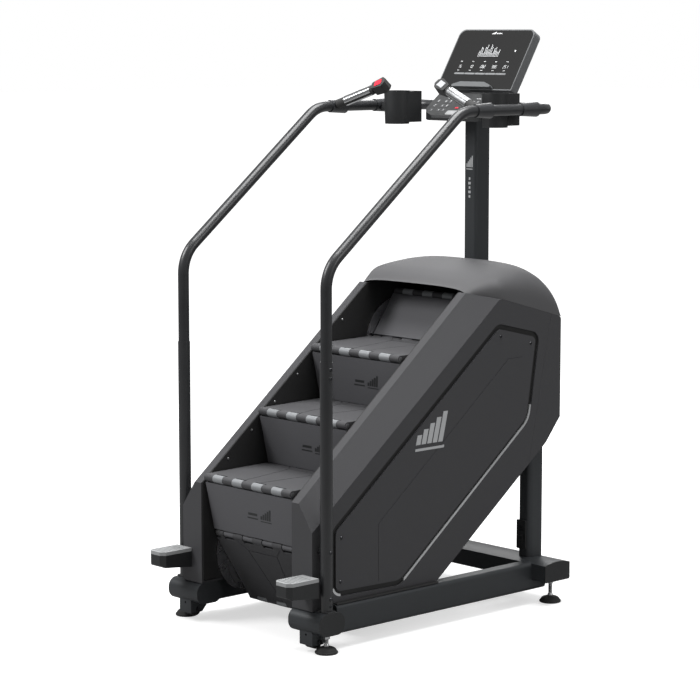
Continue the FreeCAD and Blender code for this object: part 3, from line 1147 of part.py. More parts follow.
def make_feet():
    """Four levelling feet: a domed rubber pad on a threaded stem with its lock nut."""
    for end in ("front", "rear"):
        x, y = FOOT_X[end], FOOT_Y[end]
        top = STUB_BOTTOM if end == "front" else BEAM_Z[0]
        pad = Part.makeCylinder(FOOT_PAD_RADIUS, PAD_RIM_HEIGHT, Vector(x, y, 0))
        pad = pad.fuse(Part.makeCone(FOOT_PAD_RADIUS - 3, PAD_CROWN_RADIUS,
                                     FOOT_PAD_HEIGHT - PAD_RIM_HEIGHT,
                                     Vector(x, y, PAD_RIM_HEIGHT)))
        stem = Part.makeCylinder(STEM_RADIUS, top + STEM_INSERT - FOOT_PAD_HEIGHT,
                                 Vector(x, y, FOOT_PAD_HEIGHT))
        turns = [math.radians(degrees) for degrees in range(0, 360, 60)]
        corners = [(x + NUT_RADIUS * math.cos(turn), y + NUT_RADIUS * math.sin(turn)) for turn in turns]
        nut = plan_profile(corners, top - FIT_GAP - NUT_HEIGHT, top - FIT_GAP)
        ball = Part.makeSphere(FOOT_BALL_RADIUS, Vector(x, y, FOOT_PAD_HEIGHT + 3))
        nut = nut.cut(Part.makeCylinder(STEM_RADIUS, top, Vector(x, y, 0)))
        keep_pair("levelling_foot_" + end, [pad.cut(ball), stem.fuse(ball), nut])


def make_inlet():
    """Power inlet on the front of the right upright, with its rocker switch."""
    y = behind(UPRIGHT_BEHIND) - UPRIGHT_SIZE[1] / 2
    x, middle = UPRIGHT_X + INLET_OFFSET, ROCKER_MIDDLE_Z
    face = y - INLET_DEPTH
    inlet = front_profile(rectangle(x - INLET_HALF, x + INLET_HALF, INLET_Z[0], INLET_Z[1]), face, y, 4.0)
    half, low, high = SWITCH_WELL
    inlet = inlet.cut(box(x - half, x + half, face - 1, y - 1, low, high))
    half, low, high = SOCKET_WELL
    inlet = inlet.cut(box(x - half, x + half, face - 1, y - 2, low, high))
    for shift in (-PRONG_PITCH, 0.0, PRONG_PITCH):
        inlet = inlet.fuse(box(x + shift - 1, x + shift + 1, face + 1, y - 2, PRONG_Z[0], PRONG_Z[1]))
    pivot = (y - 3.5, middle)
    bore_half = ROCKER_HALF + 4
    keep("power_inlet", inlet.cut(rod_x(pivot, x - bore_half, x + bore_half,
                                        ROCKER_PIN + RUNNING_CLEARANCE)))
    low, high = middle - ROCKER_REACH, middle + ROCKER_REACH
    rocker = side_profile([(face + 1, low), (face - 4.5, low), (face - 2, middle), (face - 4.5, high),
                           (face + 1, high)], x - ROCKER_HALF, x + ROCKER_HALF)
    rocker = rocker.fuse(rod_x(pivot, x - bore_half + 0.5, x + bore_half - 0.5, ROCKER_PIN))
    rocker.rotate(Vector(0, pivot[0], pivot[1]), Vector(1, 0, 0), ROCKER_SWING / 2)
    keep("rocker_switch", rocker)


def domed_screw(centre, direction, radius, height):
    """A screw head standing on a surface."""
    return Part.makeCone(radius, radius * 0.7, height, centre, direction)


def make_fasteners():
    """Handrail bolts, access panel screws and transport axle bolts."""
    bolts = []
    for z in BOLT_SPOTS:
        spot = Vector(HANDRAIL_X + LOWER_TUBE_RADIUS - 0.4, 0, z)
        bolts.append(domed_screw(spot, Vector(1, 0, 0), BOLT_HEAD[0], BOLT_HEAD[1]))
    corners = panel_corners()
    spots = [(corners[0][0] + 22, corners[0][1] + 30), (corners[1][0] + 26, corners[1][1] - 22),
             (corners[2][0] + 10, corners[2][1] - 28), (corners[3][0] - 26, corners[3][1] - 20)]
    for y, z in spots:
        bolts.append(domed_screw(Vector(BODY_X, y, z), Vector(1, 0, 0), SCREW_HEAD[0], SCREW_HEAD[1]))
    axle = rod_x(WHEEL_PLACE, BRACKET_X[0] - 2, BRACKET_X[1] + 2, AXLE_RADIUS)
    axle = axle.fuse(rod_x(WHEEL_PLACE, BRACKET_X[1], BRACKET_X[1] + AXLE_HEAD_HEIGHT, AXLE_HEAD_RADIUS))
    axle = axle.fuse(rod_x(WHEEL_PLACE, BRACKET_X[0] - AXLE_HEAD_HEIGHT, BRACKET_X[0], AXLE_HEAD_RADIUS))
    bolts.append(axle)
    keep("fasteners", [both_sides(bolt.cut(NODES["handrail_posts"])) for bolt in bolts])


def footprint_middle():
    """Halfway between the tip of the pegs and the rear of the console housing."""
    tilt = math.radians(BOARD_TILT)
    rear = behind(BOARD_FOOT[0]) + BOARD_HEIGHT * math.sin(tilt) + BOARD_THICKNESS * math.cos(tilt)
    return (rear + FRONT_Y - FIT_GAP - PEG_LENGTH) / 2


def main():
    make_steps()
    make_drive()
    make_frame()
    make_hood()
    make_covers()
    make_handrails()
    make_cup_holders()
    make_console()
    make_pegs()
    make_transport()
    make_feet()
    make_inlet()
    make_fasteners()
    os.makedirs("parts", exist_ok=True)
    shift = Vector(0, -footprint_middle(), 0)
    for name, shape in NODES.items():
        shape.translate(shift)
        if not shape.isValid():
            raise ValueError(name + " is not a valid shape")
        shape.exportStep("parts/%s.step" % name)
    print(len(NODES), "nodes, footprint middle", round(footprint_middle(), 3))


main()
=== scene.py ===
import math

import bpy
import numpy as np
from bpy.props import FloatProperty, FloatVectorProperty, IntProperty, PointerProperty
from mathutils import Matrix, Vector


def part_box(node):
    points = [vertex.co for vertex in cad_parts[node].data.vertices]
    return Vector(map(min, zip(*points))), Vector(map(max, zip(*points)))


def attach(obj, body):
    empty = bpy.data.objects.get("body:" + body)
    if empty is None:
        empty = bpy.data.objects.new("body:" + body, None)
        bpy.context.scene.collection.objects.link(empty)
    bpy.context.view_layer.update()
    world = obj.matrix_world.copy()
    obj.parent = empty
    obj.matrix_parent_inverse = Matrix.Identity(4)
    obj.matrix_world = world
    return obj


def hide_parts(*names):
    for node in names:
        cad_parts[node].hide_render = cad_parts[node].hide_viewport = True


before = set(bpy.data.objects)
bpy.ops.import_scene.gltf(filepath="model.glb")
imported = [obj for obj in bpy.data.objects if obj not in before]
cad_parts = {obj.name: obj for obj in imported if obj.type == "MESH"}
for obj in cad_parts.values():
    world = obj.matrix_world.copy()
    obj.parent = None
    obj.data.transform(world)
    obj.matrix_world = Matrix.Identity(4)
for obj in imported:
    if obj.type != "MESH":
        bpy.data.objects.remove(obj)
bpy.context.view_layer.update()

bl_info = {
    "name": "Stair climber finishes",
    "version": (1, 0, 0),
    "blender": (4, 5, 0),
    "location": "3D View > Sidebar > Stair climber",
    "description": "Finishes, display marks, fittings and studio for the stair climber",
    "category": "Object",
}

MM = 0.001
ROW_SCALE = [MM, MM, MM, MM, 1.0]   # rows of marks: centre x, centre y, width, height, lean
RIGHT = np.array([1.0, 0.0, 0.0])
BACK = np.array([0.0, 1.0, 0.0])
UP = np.array([0.0, 0.0, 1.0])

# Planes that carry marks: a point, and the direction across, up and out of each.
BOARD_TILT = math.radians(31.5)
BOARD = (
    np.array([0.0, 0.528, 1.825]),
    RIGHT,
    np.array([0.0, math.sin(BOARD_TILT), math.cos(BOARD_TILT)]),
    np.array([0.0, -math.cos(BOARD_TILT), math.sin(BOARD_TILT)]),
)
KEY_SLOPE = math.atan2(84.4, 112.0)
KEYPAD = (
    np.array([0.0, 0.410, 1.7346]),
    RIGHT,
    np.array([0.0, math.cos(KEY_SLOPE), math.sin(KEY_SLOPE)]),
    np.array([0.0, -math.sin(KEY_SLOPE), math.cos(KEY_SLOPE)]),
)

# Outer faces of the side covers, and the outline of their access panels in millimetres (along Y, up).
COVER_FACE = 0.334
SIDES = {
    "right": (RIGHT * COVER_FACE, BACK, UP, RIGHT),
    "left": (-RIGHT * COVER_FACE, -BACK, UP, -RIGHT),
}
PANEL_OUTLINE = [(-157.0, 184.0), (467.0, 674.6), (512.0, 959.0), (322.0, 1003.7), (-453.0, 390.0),
                 (-453.0, 190.0)]
PANEL_RADII = [70.0, 70.0, 20.0, 30.0, 30.0, 24.0]
PANEL_SINK = 6.0                    # the panel's channel, below the face of the cover
CHANNEL_INNER, CHANNEL_OUTER = 0.5, 17.2

STEP_RUN, STEP_RISE = 0.248, 0.203
FIRST_HINGE = (-0.498, 0.316)       # below the lowest riser that shows (Y, Z)
RISER_SHEER = (-45.0, 197.6)        # lean of a riser's face (Y, Z)
MAST_FRONT = 0.51399
WALL_FACE = 0.230                   # inner face of the wall beside the steps
RISER_FACE = 10.0 * MM              # from the line of a riser's hinges out to its face
INK_CHAMFER = 0.1 * MM
KEY_HEIGHT = 0.8 * MM
SMOOTH_ANGLE = 35.0

# The camera of the photo, from the perspective fit: metres, millimetres and degrees.
CAMERA_PLACE = (6.122, -5.786, 2.037)
CAMERA_DIP, CAMERA_TURN = 7.511, 47.0
LENS = 124.72
WHITE = (1.0, 1.0, 1.0, 1.0)

SEGMENTS = {
    "0": "abcdef", "1": "bc", "2": "abged", "3": "abgcd", "4": "fgbc",
    "5": "afgcd", "6": "afgedc", "7": "abc", "8": "abcdefg", "9": "abcdfg",
}


# ---- surfaces ----
def put_mesh(name, points, faces_by_size):
    """A mesh object from a point array and a list of face index arrays, each with one face size."""
    mesh = bpy.data.meshes.new(name)
    loops = np.concatenate([faces.ravel() for faces in faces_by_size]).astype(np.int32)
    sizes = np.concatenate([np.full(len(faces),
                                    faces.shape[1]) for faces in faces_by_size]).astype(np.int32)
    starts = np.concatenate([[0], np.cumsum(sizes)[:-1]]).astype(np.int32)
    mesh.vertices.add(len(points))
    mesh.vertices.foreach_set("co", np.asarray(points, dtype=np.float32).ravel())
    mesh.loops.add(len(loops))
    mesh.loops.foreach_set("vertex_index", loops)
    mesh.polygons.add(len(sizes))
    mesh.polygons.foreach_set("loop_start", starts)
    mesh.update(calc_edges=True)
    mesh.validate()
    piece = bpy.data.objects.new(name, mesh)
    bpy.context.scene.collection.objects.link(piece)
    return piece


def smooth(piece, angle=SMOOTH_ANGLE):
    """Smooth shading, with edges over angle degrees kept sharp."""
    piece.data.shade_smooth()
    piece.data.set_sharp_from_angle(angle=math.radians(angle))


def ring_stack(name, rings, smooth_angle=SMOOTH_ANGLE):
    """Closed solids from stacks of rings: points[shape, ring, step] joined ring to ring, with flat end faces.

    rings is an array (shapes, rings, steps, 3). Face (i, j) joins ring i to i + 1 at steps j and j + 1."""
    shapes, levels, steps, _ = rings.shape
    index = np.arange(shapes * levels * steps).reshape(shapes, levels, steps)
    ahead = np.roll(index, -1, axis=2)
    walls = np.stack([index[:, :-1], ahead[:, :-1], ahead[:, 1:], index[:, 1:]], axis=-1).reshape(-1, 4)
    lids = np.concatenate([index[:, 0, ::-1], index[:, -1]])
    piece = put_mesh(name, rings.reshape(-1, 3), [walls, lids])
    smooth(piece, smooth_angle)
    return piece


def on_plane(plane, across, up, out):
    """Points of a plane: origin + across * u + up * v + out * w, over whole arrays."""
    origin, u, v, w = plane
    return origin + across[..., None] * u + up[..., None] * v + out[..., None] * w


def plates(name, plane, outlines, height, chamfer):
    """Thin raised plates: each outline stands height above the plane and draws in by chamfer at its top.

    outlines is an array (plates, steps, 2), anticlockwise. The top ring is c + (p - c)(1 - chamfer / |p - c|)
    about the middle c of each outline."""
    middle = outlines.mean(axis=1, keepdims=True)
    reach = np.linalg.norm(outlines - middle, axis=2, keepdims=True)
    top = middle + (outlines - middle) * (1.0 - chamfer / reach)
    levels = np.stack([outlines, outlines, top], axis=1)
    out = np.array([-0.5 * MM, height - chamfer, height])[None, :, None] * np.ones(levels.shape[:3])
    return ring_stack(name, on_plane(plane, levels[..., 0], levels[..., 1], out))


def soft_rectangles(boxes, power=5.0, steps=20):
    """Superellipses |x/a|^n + |y/b|^n = 1, one for each row (centre x, centre y, width, height, lean)."""
    boxes = np.asarray(boxes, dtype=float)
    turn = np.linspace(0.0, 2.0 * math.pi, steps, endpoint=False) + math.pi / steps
    c, s = np.cos(turn), np.sin(turn)
    x = np.sign(c) * np.abs(c) ** (2.0 / power)
    y = np.sign(s) * np.abs(s) ** (2.0 / power)
    across = boxes[:, 0, None] + x * boxes[:, 2, None] / 2 + y * boxes[:, 4, None] * boxes[:, 3, None] / 2
    up = boxes[:, 1, None] + y * boxes[:, 3, None] / 2
    return np.stack([across, up], axis=-1)


def bars(boxes):
    """Four-cornered outlines for rows (centre x, centre y, width, height, lean)."""
    boxes = np.asarray(boxes, dtype=float)
    corner = np.array([[-1, -1], [1, -1], [1, 1], [-1, 1]]) / 2.0
    rise = corner[:, 1] * boxes[:, 3, None]
    across = boxes[:, 0, None] + corner[:, 0] * boxes[:, 2, None] + rise * boxes[:, 4, None]
    return np.stack([across, boxes[:, 1, None] + rise], axis=-1)


def rounded_outline(corners, radii, offset, steps=8):
    """Anticlockwise outline of a polygon with round corners, moved out by offset.

    Each corner's arc has its centre where the inner offsets of both sides meet, so every offset shares it."""
    corners = np.asarray(corners, dtype=float)
    back = np.roll(corners, 1, axis=0) - corners
    ahead = np.roll(corners, -1, axis=0) - corners
    back /= np.linalg.norm(back, axis=1, keepdims=True)
    ahead /= np.linalg.norm(ahead, axis=1, keepdims=True)
    middle = back + ahead
    middle /= np.linalg.norm(middle, axis=1, keepdims=True)
    half = np.arccos(np.clip((back * ahead).sum(axis=1), -1.0, 1.0)) / 2.0
    radii = np.asarray(radii, dtype=float)
    centre = corners + middle * (radii / np.sin(half))[:, None]
    first = np.arctan2(-middle[:, 1], -middle[:, 0]) - (math.pi / 2.0 - half)
    turn = first[:, None] + np.linspace(0.0, 1.0, steps) * (math.pi - 2.0 * half)[:, None]
    ring = np.stack([np.cos(turn), np.sin(turn)], axis=-1) * (radii + offset)[:, None, None]
    return (centre[:, None, :] + ring).reshape(-1, 2)


def flat_ring(name, plane, inner, outer, height):
    """A flat ring standing height above a plane, between two outlines with matching steps."""
    rings = np.stack([inner, inner, outer, outer])
    lift = np.array([-0.2 * MM, height, height, -0.2 * MM])[:, None] * np.ones(rings.shape[:2])
    points = on_plane(plane, rings[..., 0], rings[..., 1], lift)
    index = np.arange(rings.shape[0] * rings.shape[1]).reshape(rings.shape[:2])
    below, ahead = np.roll(index, -1, axis=0), np.roll(index, -1, axis=1)
    faces = np.stack([index, ahead, np.roll(below, -1, axis=1), below], axis=-1).reshape(-1, 4)
    piece = put_mesh(name, points.reshape(-1, 3), [faces])
    smooth(piece)
    return piece


def stair_mark(x, y, width, height, lean=0.25):
    """Rows for a small emblem: five bars that climb like steps, over a short base line."""
    rows = [(x + (step - 2) * width / 5.2, y + height * (0.10 + 0.08 * step) - height * 0.25, width / 7.0,
             height * (0.30 + 0.16 * step), lean) for step in range(5)]
    return rows + [(x - width * 0.04, y - height * 0.46, width * 0.92, height * 0.08, lean)]


def digit_bars(text, x, y, width, height, pitch):
    """Rows of bars for seven-segment numbers standing at x, y, leaning a little."""
    thick = width * 0.24
    places = {
        "a": (0.0, height / 2, width, thick), "g": (0.0, 0.0, width, thick),
              "d": (0.0, -height / 2, width, thick),
        "f": (-width / 2, height / 4, thick, height / 2), "b": (width / 2, height / 4, thick, height / 2),
        "e": (-width / 2, -height / 4, thick, height / 2), "c": (width / 2, -height / 4, thick, height / 2),
    }
    rows = []
    for place, letter in enumerate(text):
        start = x + (place - (len(text) - 1) / 2) * pitch
        rows += [(start + dx + 0.12 * dy, y + dy, wide - thick * 0.3, tall - thick * 0.3, 0.12)
                 for dx, dy, wide, tall in (places[bar] for bar in SEGMENTS[letter])]
    return rows


def frame_on(axis):
    """Two directions square to axis, so that across x up = axis."""
    axis = np.asarray(axis, dtype=float)
    axis = axis / np.linalg.norm(axis)
    helper = np.array([0.0, 0.0, 1.0]) if abs(axis[2]) < 0.9 else np.array([0.0, 1.0, 0.0])
    across = np.cross(helper, axis)
    across /= np.linalg.norm(across)
    return across, np.cross(axis, across), axis


def lathe(name, profile, centres, axis, steps=32, smooth_angle=SMOOTH_ANGLE):
    """A profile of (radius, height) turned about an axis, once at each centre.

    A ring of radius r at height h is centre + r (cos t across + sin t up) + h axis."""
    across, up, along = frame_on(axis)
    profile = np.asarray(profile, dtype=float)
    turn = np.linspace(0.0, 2.0 * math.pi, steps, endpoint=False)
    ring = np.cos(turn)[:, None] * across + np.sin(turn)[:, None] * up
    shape = profile[:, 0, None, None] * ring + profile[:, 1, None, None] * along
    return ring_stack(name, np.asarray(centres, dtype=float)[:, None, None, :] + shape, smooth_angle)


# ---- shared effects ----
def effect(name, inputs, outputs):
    """A new shader node group with its sockets, its input node and its output node."""
    group = bpy.data.node_groups.new(name, "ShaderNodeTree")
    for label, kind, default in inputs:
        socket = group.interface.new_socket(label, in_out="INPUT", socket_type=kind)
        if default is not None:
            socket.default_value = default
    for label, kind in outputs:
        group.interface.new_socket(label, in_out="OUTPUT", socket_type=kind)
    return group, group.nodes.new("NodeGroupInput"), group.nodes.new("NodeGroupOutput")


def feed(tree, made, links):
    """Link or set a node's inputs, by name or number."""
    for key, value in links.items():
        if isinstance(value, bpy.types.NodeSocket):
            tree.links.new(value, made.inputs[key])
        else:
            made.inputs[key].default_value = value
    return made


def node(tree, kind, links=None, **settings):
    """A node with its settings and its inputs."""
    made = tree.nodes.new(kind)
    for key, value in settings.items():
        setattr(made, key, value)
    return feed(tree, made, links or {})


def arithmetic(tree, operation, a, b, clamp=False):
    return node(tree, "ShaderNodeMath", {0: a, 1: b}, operation=operation, use_clamp=clamp).outputs[0]


def make_grain():
    """Moulded or powdered surface: fine bumps, and slow drifts of tone."""
    group, entry, leave = effect(
        "surface_grain",
        [("Vector", "NodeSocketVector", None), ("Scale", "NodeSocketFloat", 900.0),
         ("Drift Scale", "NodeSocketFloat", 6.0)],
        [("Height", "NodeSocketFloat"), ("Tone", "NodeSocketFloat")])
    place, scale, drift = (entry.outputs[key] for key in ("Vector", "Scale", "Drift Scale"))
    fine = node(group, "ShaderNodeTexNoise",
                {"Vector": place, "Scale": scale, "Detail": 2.0, "Roughness": 0.6})
    slow = node(group, "ShaderNodeTexNoise",
                {"Vector": place, "Scale": drift, "Detail": 4.0, "Roughness": 0.65})
    group.links.new(fine.outputs["Fac"], leave.inputs["Height"])
    group.links.new(slow.outputs["Fac"], leave.inputs["Tone"])
    return group


def make_brushing():
    """Fine parallel scratches: noise drawn out along one direction."""
    group, entry, leave = effect(
        "brushing", [("Vector", "NodeSocketVector", None), ("Along", "NodeSocketVector", (1.0, 1.0, 1.0))],
        [("Height", "NodeSocketFloat"), ("Tone", "NodeSocketFloat")])
    drawn = node(group, "ShaderNodeMapping",
                 {"Vector": entry.outputs["Vector"], "Scale": entry.outputs["Along"]})
    lines = node(group, "ShaderNodeTexNoise",
                 {"Vector": drawn.outputs[0], "Scale": 60.0, "Detail": 5.0, "Roughness": 0.7})
    slow = node(group, "ShaderNodeTexNoise",
                {"Vector": entry.outputs["Vector"], "Scale": 14.0, "Detail": 3.0})
    group.links.new(lines.outputs["Fac"], leave.inputs["Height"])
    group.links.new(slow.outputs["Fac"], leave.inputs["Tone"])
    return group


def make_painted_edge_highlight():
    """Mask for a painted edge highlight where a corner turns: 1 minus the cosine between the rounded and the
    flat normal, raised to show.
    """
    group, entry, leave = effect(
        "painted_edge_highlight", [("Radius", "NodeSocketFloat", 0.003), ("Strength", "NodeSocketFloat", 4.0)],
        [("Mask", "NodeSocketFloat")])
    rounded = node(group, "ShaderNodeBevel", {"Radius": entry.outputs["Radius"]}, samples=4)
    flat = node(group, "ShaderNodeNewGeometry")
    dot = node(group, "ShaderNodeVectorMath", {0: rounded.outputs[0], 1: flat.outputs["Normal"]},
               operation="DOT_PRODUCT")
    turned = arithmetic(group, "SUBTRACT", 1.0, dot.outputs["Value"], clamp=True)
    mask = arithmetic(group, "MULTIPLY", turned, entry.outputs["Strength"], clamp=True)
    group.links.new(mask, leave.inputs["Mask"])
    return group


def make_settled_dust():
    """A thin veil on faces that look up, broken by noise."""
    group, entry, leave = effect(
        "settled_dust", [("Vector", "NodeSocketVector", None), ("Amount", "NodeSocketFloat", 0.1)],
        [("Mask", "NodeSocketFloat")])
    flat = node(group, "ShaderNodeNewGeometry")
    parts = node(group, "ShaderNodeSeparateXYZ", {0: flat.outputs["Normal"]})
    upward = node(group, "ShaderNodeMapRange",
                  {"Value": parts.outputs["Z"], "From Min": 0.35, "From Max": 1.0})
    cloud = node(group, "ShaderNodeTexNoise",
                 {"Vector": entry.outputs["Vector"], "Scale": 22.0, "Detail": 6.0, "Roughness": 0.7})
    patch = node(group, "ShaderNodeMapRange",
                 {"Value": cloud.outputs["Fac"], "From Min": 0.35, "From Max": 0.75})
    veil = arithmetic(group, "MULTIPLY", upward.outputs["Result"], patch.outputs["Result"])
    group.links.new(arithmetic(group, "MULTIPLY", veil, entry.outputs["Amount"], clamp=True),
                    leave.inputs["Mask"])
    return group


EFFECTS = {}


def effects():
    """The shared groups, built once."""
    if not EFFECTS:
        EFFECTS.update(grain=make_grain(), brushing=make_brushing(), edge=make_painted_edge_highlight(),
                       dust=make_settled_dust())
    return EFFECTS


def place_effect(tree, which, links):
    return node(tree, "ShaderNodeGroup", links, node_tree=effects()[which])


def shade(colour, factor):
    return tuple(min(1.0, channel * factor) for channel in colour[:3]) + (1.0,)


def blend_colour(tree, factor, a, b):
    made = node(tree, "ShaderNodeMix", {"Factor": factor, 6: a, 7: b},
                data_type="RGBA")  # 6 and 7: colours A and B
    return made.outputs[2]


def finish(name, colour, rough, metal=0.0, scale=900.0, depth=0.05, tone=0.16, edge=0.35, edge_radius=0.002,
           dust=0.06, coat=0.0, along=None, emission=0.0, glint=0.5):
    """A finish with tone drift, fine relief, painted edge highlights and settled dust, each feeding the one
    shader.
    """
    if name in bpy.data.materials:
        return bpy.data.materials[name]
    material = bpy.data.materials.new(name)
    material.use_nodes = True
    tree = material.node_tree
    shader = tree.nodes["Principled BSDF"]
    place = node(tree, "ShaderNodeTexCoord").outputs["Object"]
    if along is None:
        relief = place_effect(tree, "grain", {"Vector": place, "Scale": scale})
    else:
        relief = place_effect(tree, "brushing", {"Vector": place, "Along": along})
    corner = place_effect(tree, "edge", {"Radius": edge_radius})
    veil = place_effect(tree, "dust", {"Vector": place, "Amount": dust})
    base = blend_colour(tree, relief.outputs["Tone"], shade(colour, 1.0 - tone), shade(colour, 1.0 + tone))
    # Painted highlight: where a corner turns, the colour is lightened towards 1.9 times itself, as if light
    # caught the edge.
    painted_highlight_mask = arithmetic(tree, "MULTIPLY", corner.outputs["Mask"], edge)
    base = blend_colour(tree, painted_highlight_mask, base, shade([channel + 0.03 for channel in colour[:3]], 1.9))
    base = blend_colour(tree, veil.outputs["Mask"], base, (0.42, 0.41, 0.39, 1.0))
    tree.links.new(base, shader.inputs["Base Color"])
    gloss = node(tree, "ShaderNodeMapRange",
                 {"Value": relief.outputs["Tone"], "From Min": 0.3, "From Max": 0.7,
                 "To Min": rough - 0.05, "To Max": rough + 0.06})
    dulled = arithmetic(tree, "ADD", gloss.outputs["Result"],
                        arithmetic(tree, "MULTIPLY", veil.outputs["Mask"], 0.4))
    tree.links.new(dulled, shader.inputs["Roughness"])
    bump = node(tree, "ShaderNodeBump",
                {"Height": relief.outputs["Height"], "Strength": depth, "Distance": 0.001})
    tree.links.new(bump.outputs[0], shader.inputs["Normal"])
    shader.inputs["Metallic"].default_value = metal
    shader.inputs["Coat Weight"].default_value = coat
    shader.inputs["Coat Roughness"].default_value = 0.12
    shader.inputs["Specular IOR Level"].default_value = glint
    if emission:
        shader.inputs["Emission Color"].default_value = shade(colour, 1.0)
        shader.inputs["Emission Strength"].default_value = emission
    return material


def dress(names, material):
    """Give CAD nodes a finish, in every slot they have."""
    for name in names:
        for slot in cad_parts[name].material_slots:
            slot.material = material


def wear(piece, material, body):
    """Give a new piece its finish, in one material slot, and its body."""
    piece.data.materials.clear()
    piece.data.materials.append(material)
    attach(piece, body)
    return piece


def printed(name, plane, outlines, ink, body):
    """Marks in ink on a plane, raised by the mark height."""
    height = bpy.context.scene.stair_climber_sizes.mark_height
    return wear(plates(name, plane, outlines, height, INK_CHAMFER), ink, body)


def split_by_ray(tree, lit, seen, out):
    """One shader where the camera looks straight at a backdrop, another for every other ray."""
    path = tree.nodes.new("ShaderNodeLightPath")
    mix = node(tree, "ShaderNodeMixShader",
               {0: path.outputs["Is Camera Ray"], 1: lit.outputs[0], 2: seen.outputs[0]})
    tree.links.new(mix.outputs[0], out.inputs["Surface"])


# ---- settings ----
def colour_property(label, text, default):
    return FloatVectorProperty(name=label, description=text, subtype="COLOR", size=3, min=0.0, max=1.0,
                               default=default)


class StairClimberColours(bpy.types.PropertyGroup):
    """Colours of the finishes."""

    powder_coat: colour_property("Powder coat", "Tubes, rails and mast", (0.024, 0.025, 0.027))
    cover: colour_property("Covers", "Side covers and access panels", (0.030, 0.031, 0.033))
    hood: colour_property("Hood", "Hood over the top of the flight", (0.066, 0.068, 0.071))
    inner_wall: colour_property("Inner walls", "Plates beside the steps", (0.006, 0.006, 0.0065))
    moulded_black: colour_property("Black mouldings", "Pegs, cups, keypad and end caps",
                                   (0.015, 0.016, 0.017))
    tread: colour_property("Treads", "Grooved step surfaces", (0.030, 0.031, 0.033))
    riser: colour_property("Risers", "Upright faces of the steps", (0.085, 0.089, 0.095))
    sleeve: colour_property("Nosing sleeves", "Light clips along each nosing", (0.24, 0.25, 0.26))
    silver: colour_property("Silver trim", "Strips, contacts and grip plates", (0.60, 0.61, 0.62))
    display: colour_property("Display marks", "Lit marks on the glass", (0.86, 0.88, 0.90))
    stop: colour_property("Stop button", "Left grip button", (0.70, 0.012, 0.045))


class StairClimberSizes(bpy.types.PropertyGroup):
    """Sizes of the added marks and fittings."""

    mark_height: FloatProperty(name="Mark height", description="How far printed marks stand out",
                               default=0.0003, min=0.0001, max=0.002, unit="LENGTH")
    bolt_radius: FloatProperty(name="Bolt head radius",
                               description="Sets the size of the domed wall screws",
                               default=0.0065, min=0.003, max=0.015, unit="LENGTH")
    hood_power: FloatProperty(name="Hood shoulder", description="2 is a round arch, larger is squarer",
                              default=3.6, min=2.0, max=8.0)
    graph_columns: IntProperty(name="Graph columns", description="Columns of the workout graph",
                               default=16, min=4, max=24)
    floor_half: FloatProperty(name="Floor half width", description="Half the side of the studio floor",
                              default=60.0, min=10.0, max=200.0, unit="LENGTH")


# ---- pieces ----
class STAIRCLIMBER_OT_frame_finish(bpy.types.Operator):
    """Powder coat on tubes and posts, black mouldings, end caps and drive parts."""

    bl_idname = "stair_climber.frame_finish"
    bl_label = "Frame finish"

    def execute(self, context):
        colours = context.scene.stair_climber_colours
        coat = finish("powder_coat", colours.powder_coat, 0.40, scale=1400.0, depth=0.03, edge=0.25,
                      dust=0.04, coat=0.12)
        dress(["base_rails", "front_foot_tubes", "rear_crossbeam", "rear_uprights", "console_mast",
               "transport_brackets"], coat)
        tube = finish("tube_coat", colours.powder_coat, 0.36, scale=1400.0, depth=0.02, edge=0.0, dust=0.0,
                      coat=0.2)
        dress(["handrail_posts", "handrail_left", "handrail_right"], tube)
        moulded = finish("moulded_black", colours.moulded_black, 0.50, scale=1000.0, depth=0.16, edge=0.35,
                         dust=0.05)
        dress(["tube_end_caps", "foot_pegs", "cup_holders", "keypad_pod", "power_inlet", "rocker_switch",
               "control_box"], moulded)
        collar = finish("collar_black", shade(colours.powder_coat, 1.3)[:3], 0.30, scale=900.0, depth=0.03,
                        edge=0.0, dust=0.0, coat=0.25)
        dress(["rail_collars"], collar)
        casting = finish("machined_casting", (0.20, 0.20, 0.21), 0.45, metal=0.8, scale=400.0, depth=0.1)
        dress(["bearing_blocks", "alternator", "drive_pulley", "alternator_pulley"], casting)
        belt = finish("belt_rubber", (0.02, 0.02, 0.02), 0.7, scale=500.0, depth=0.2)
        dress(["drive_belt"], belt)
        return {"FINISHED"}


class STAIRCLIMBER_OT_cover_finish(bpy.types.Operator):
    """Moulded covers, inner walls, silver strips and the dark channels round the panels."""

    bl_idname = "stair_climber.cover_finish"
    bl_label = "Cover finish"

    def execute(self, context):
        colours = context.scene.stair_climber_colours
        cover = finish("cover_plastic", colours.cover, 0.46, scale=1200.0, depth=0.10, tone=0.08, edge=0.45,
                       edge_radius=0.003)
        dress(["side_cover_left", "side_cover_right", "side_panels", "rear_cover"], cover)
        hood = finish("hood_plastic", colours.hood, 0.42, scale=1200.0, depth=0.08, tone=0.06, edge=0.3,
                      edge_radius=0.003)
        dress(["hood"], hood)
        wall = finish("inner_wall_paint", colours.inner_wall, 0.5, scale=700.0, depth=0.08, edge=0.5)
        dress(["inner_plates", "guide_rails"], wall)
        strip = finish("silver_strip", colours.silver, 0.3, metal=0.6, scale=600.0, depth=0.03, coat=0.3)
        dress(["accent_strips"], strip)
        liner = finish("channel_black", (0.006, 0.006, 0.006), 0.55, scale=900.0, depth=0.06, edge=0.1,
                       dust=0.01)
        inner = rounded_outline(PANEL_OUTLINE, PANEL_RADII, CHANNEL_INNER) * MM
        outer = rounded_outline(PANEL_OUTLINE, PANEL_RADII, CHANNEL_OUTER) * MM
        for side, plane in SIDES.items():
            face, along, _, out = plane
            sunk = (face - out * PANEL_SINK * MM,) + plane[1:]
            mirror = [along[1], 1.0]
            ring = flat_ring("channel_liner_" + side, sunk, inner * mirror, outer * mirror, 0.3 * MM)
            wear(ring, liner, "frame")
        return {"FINISHED"}


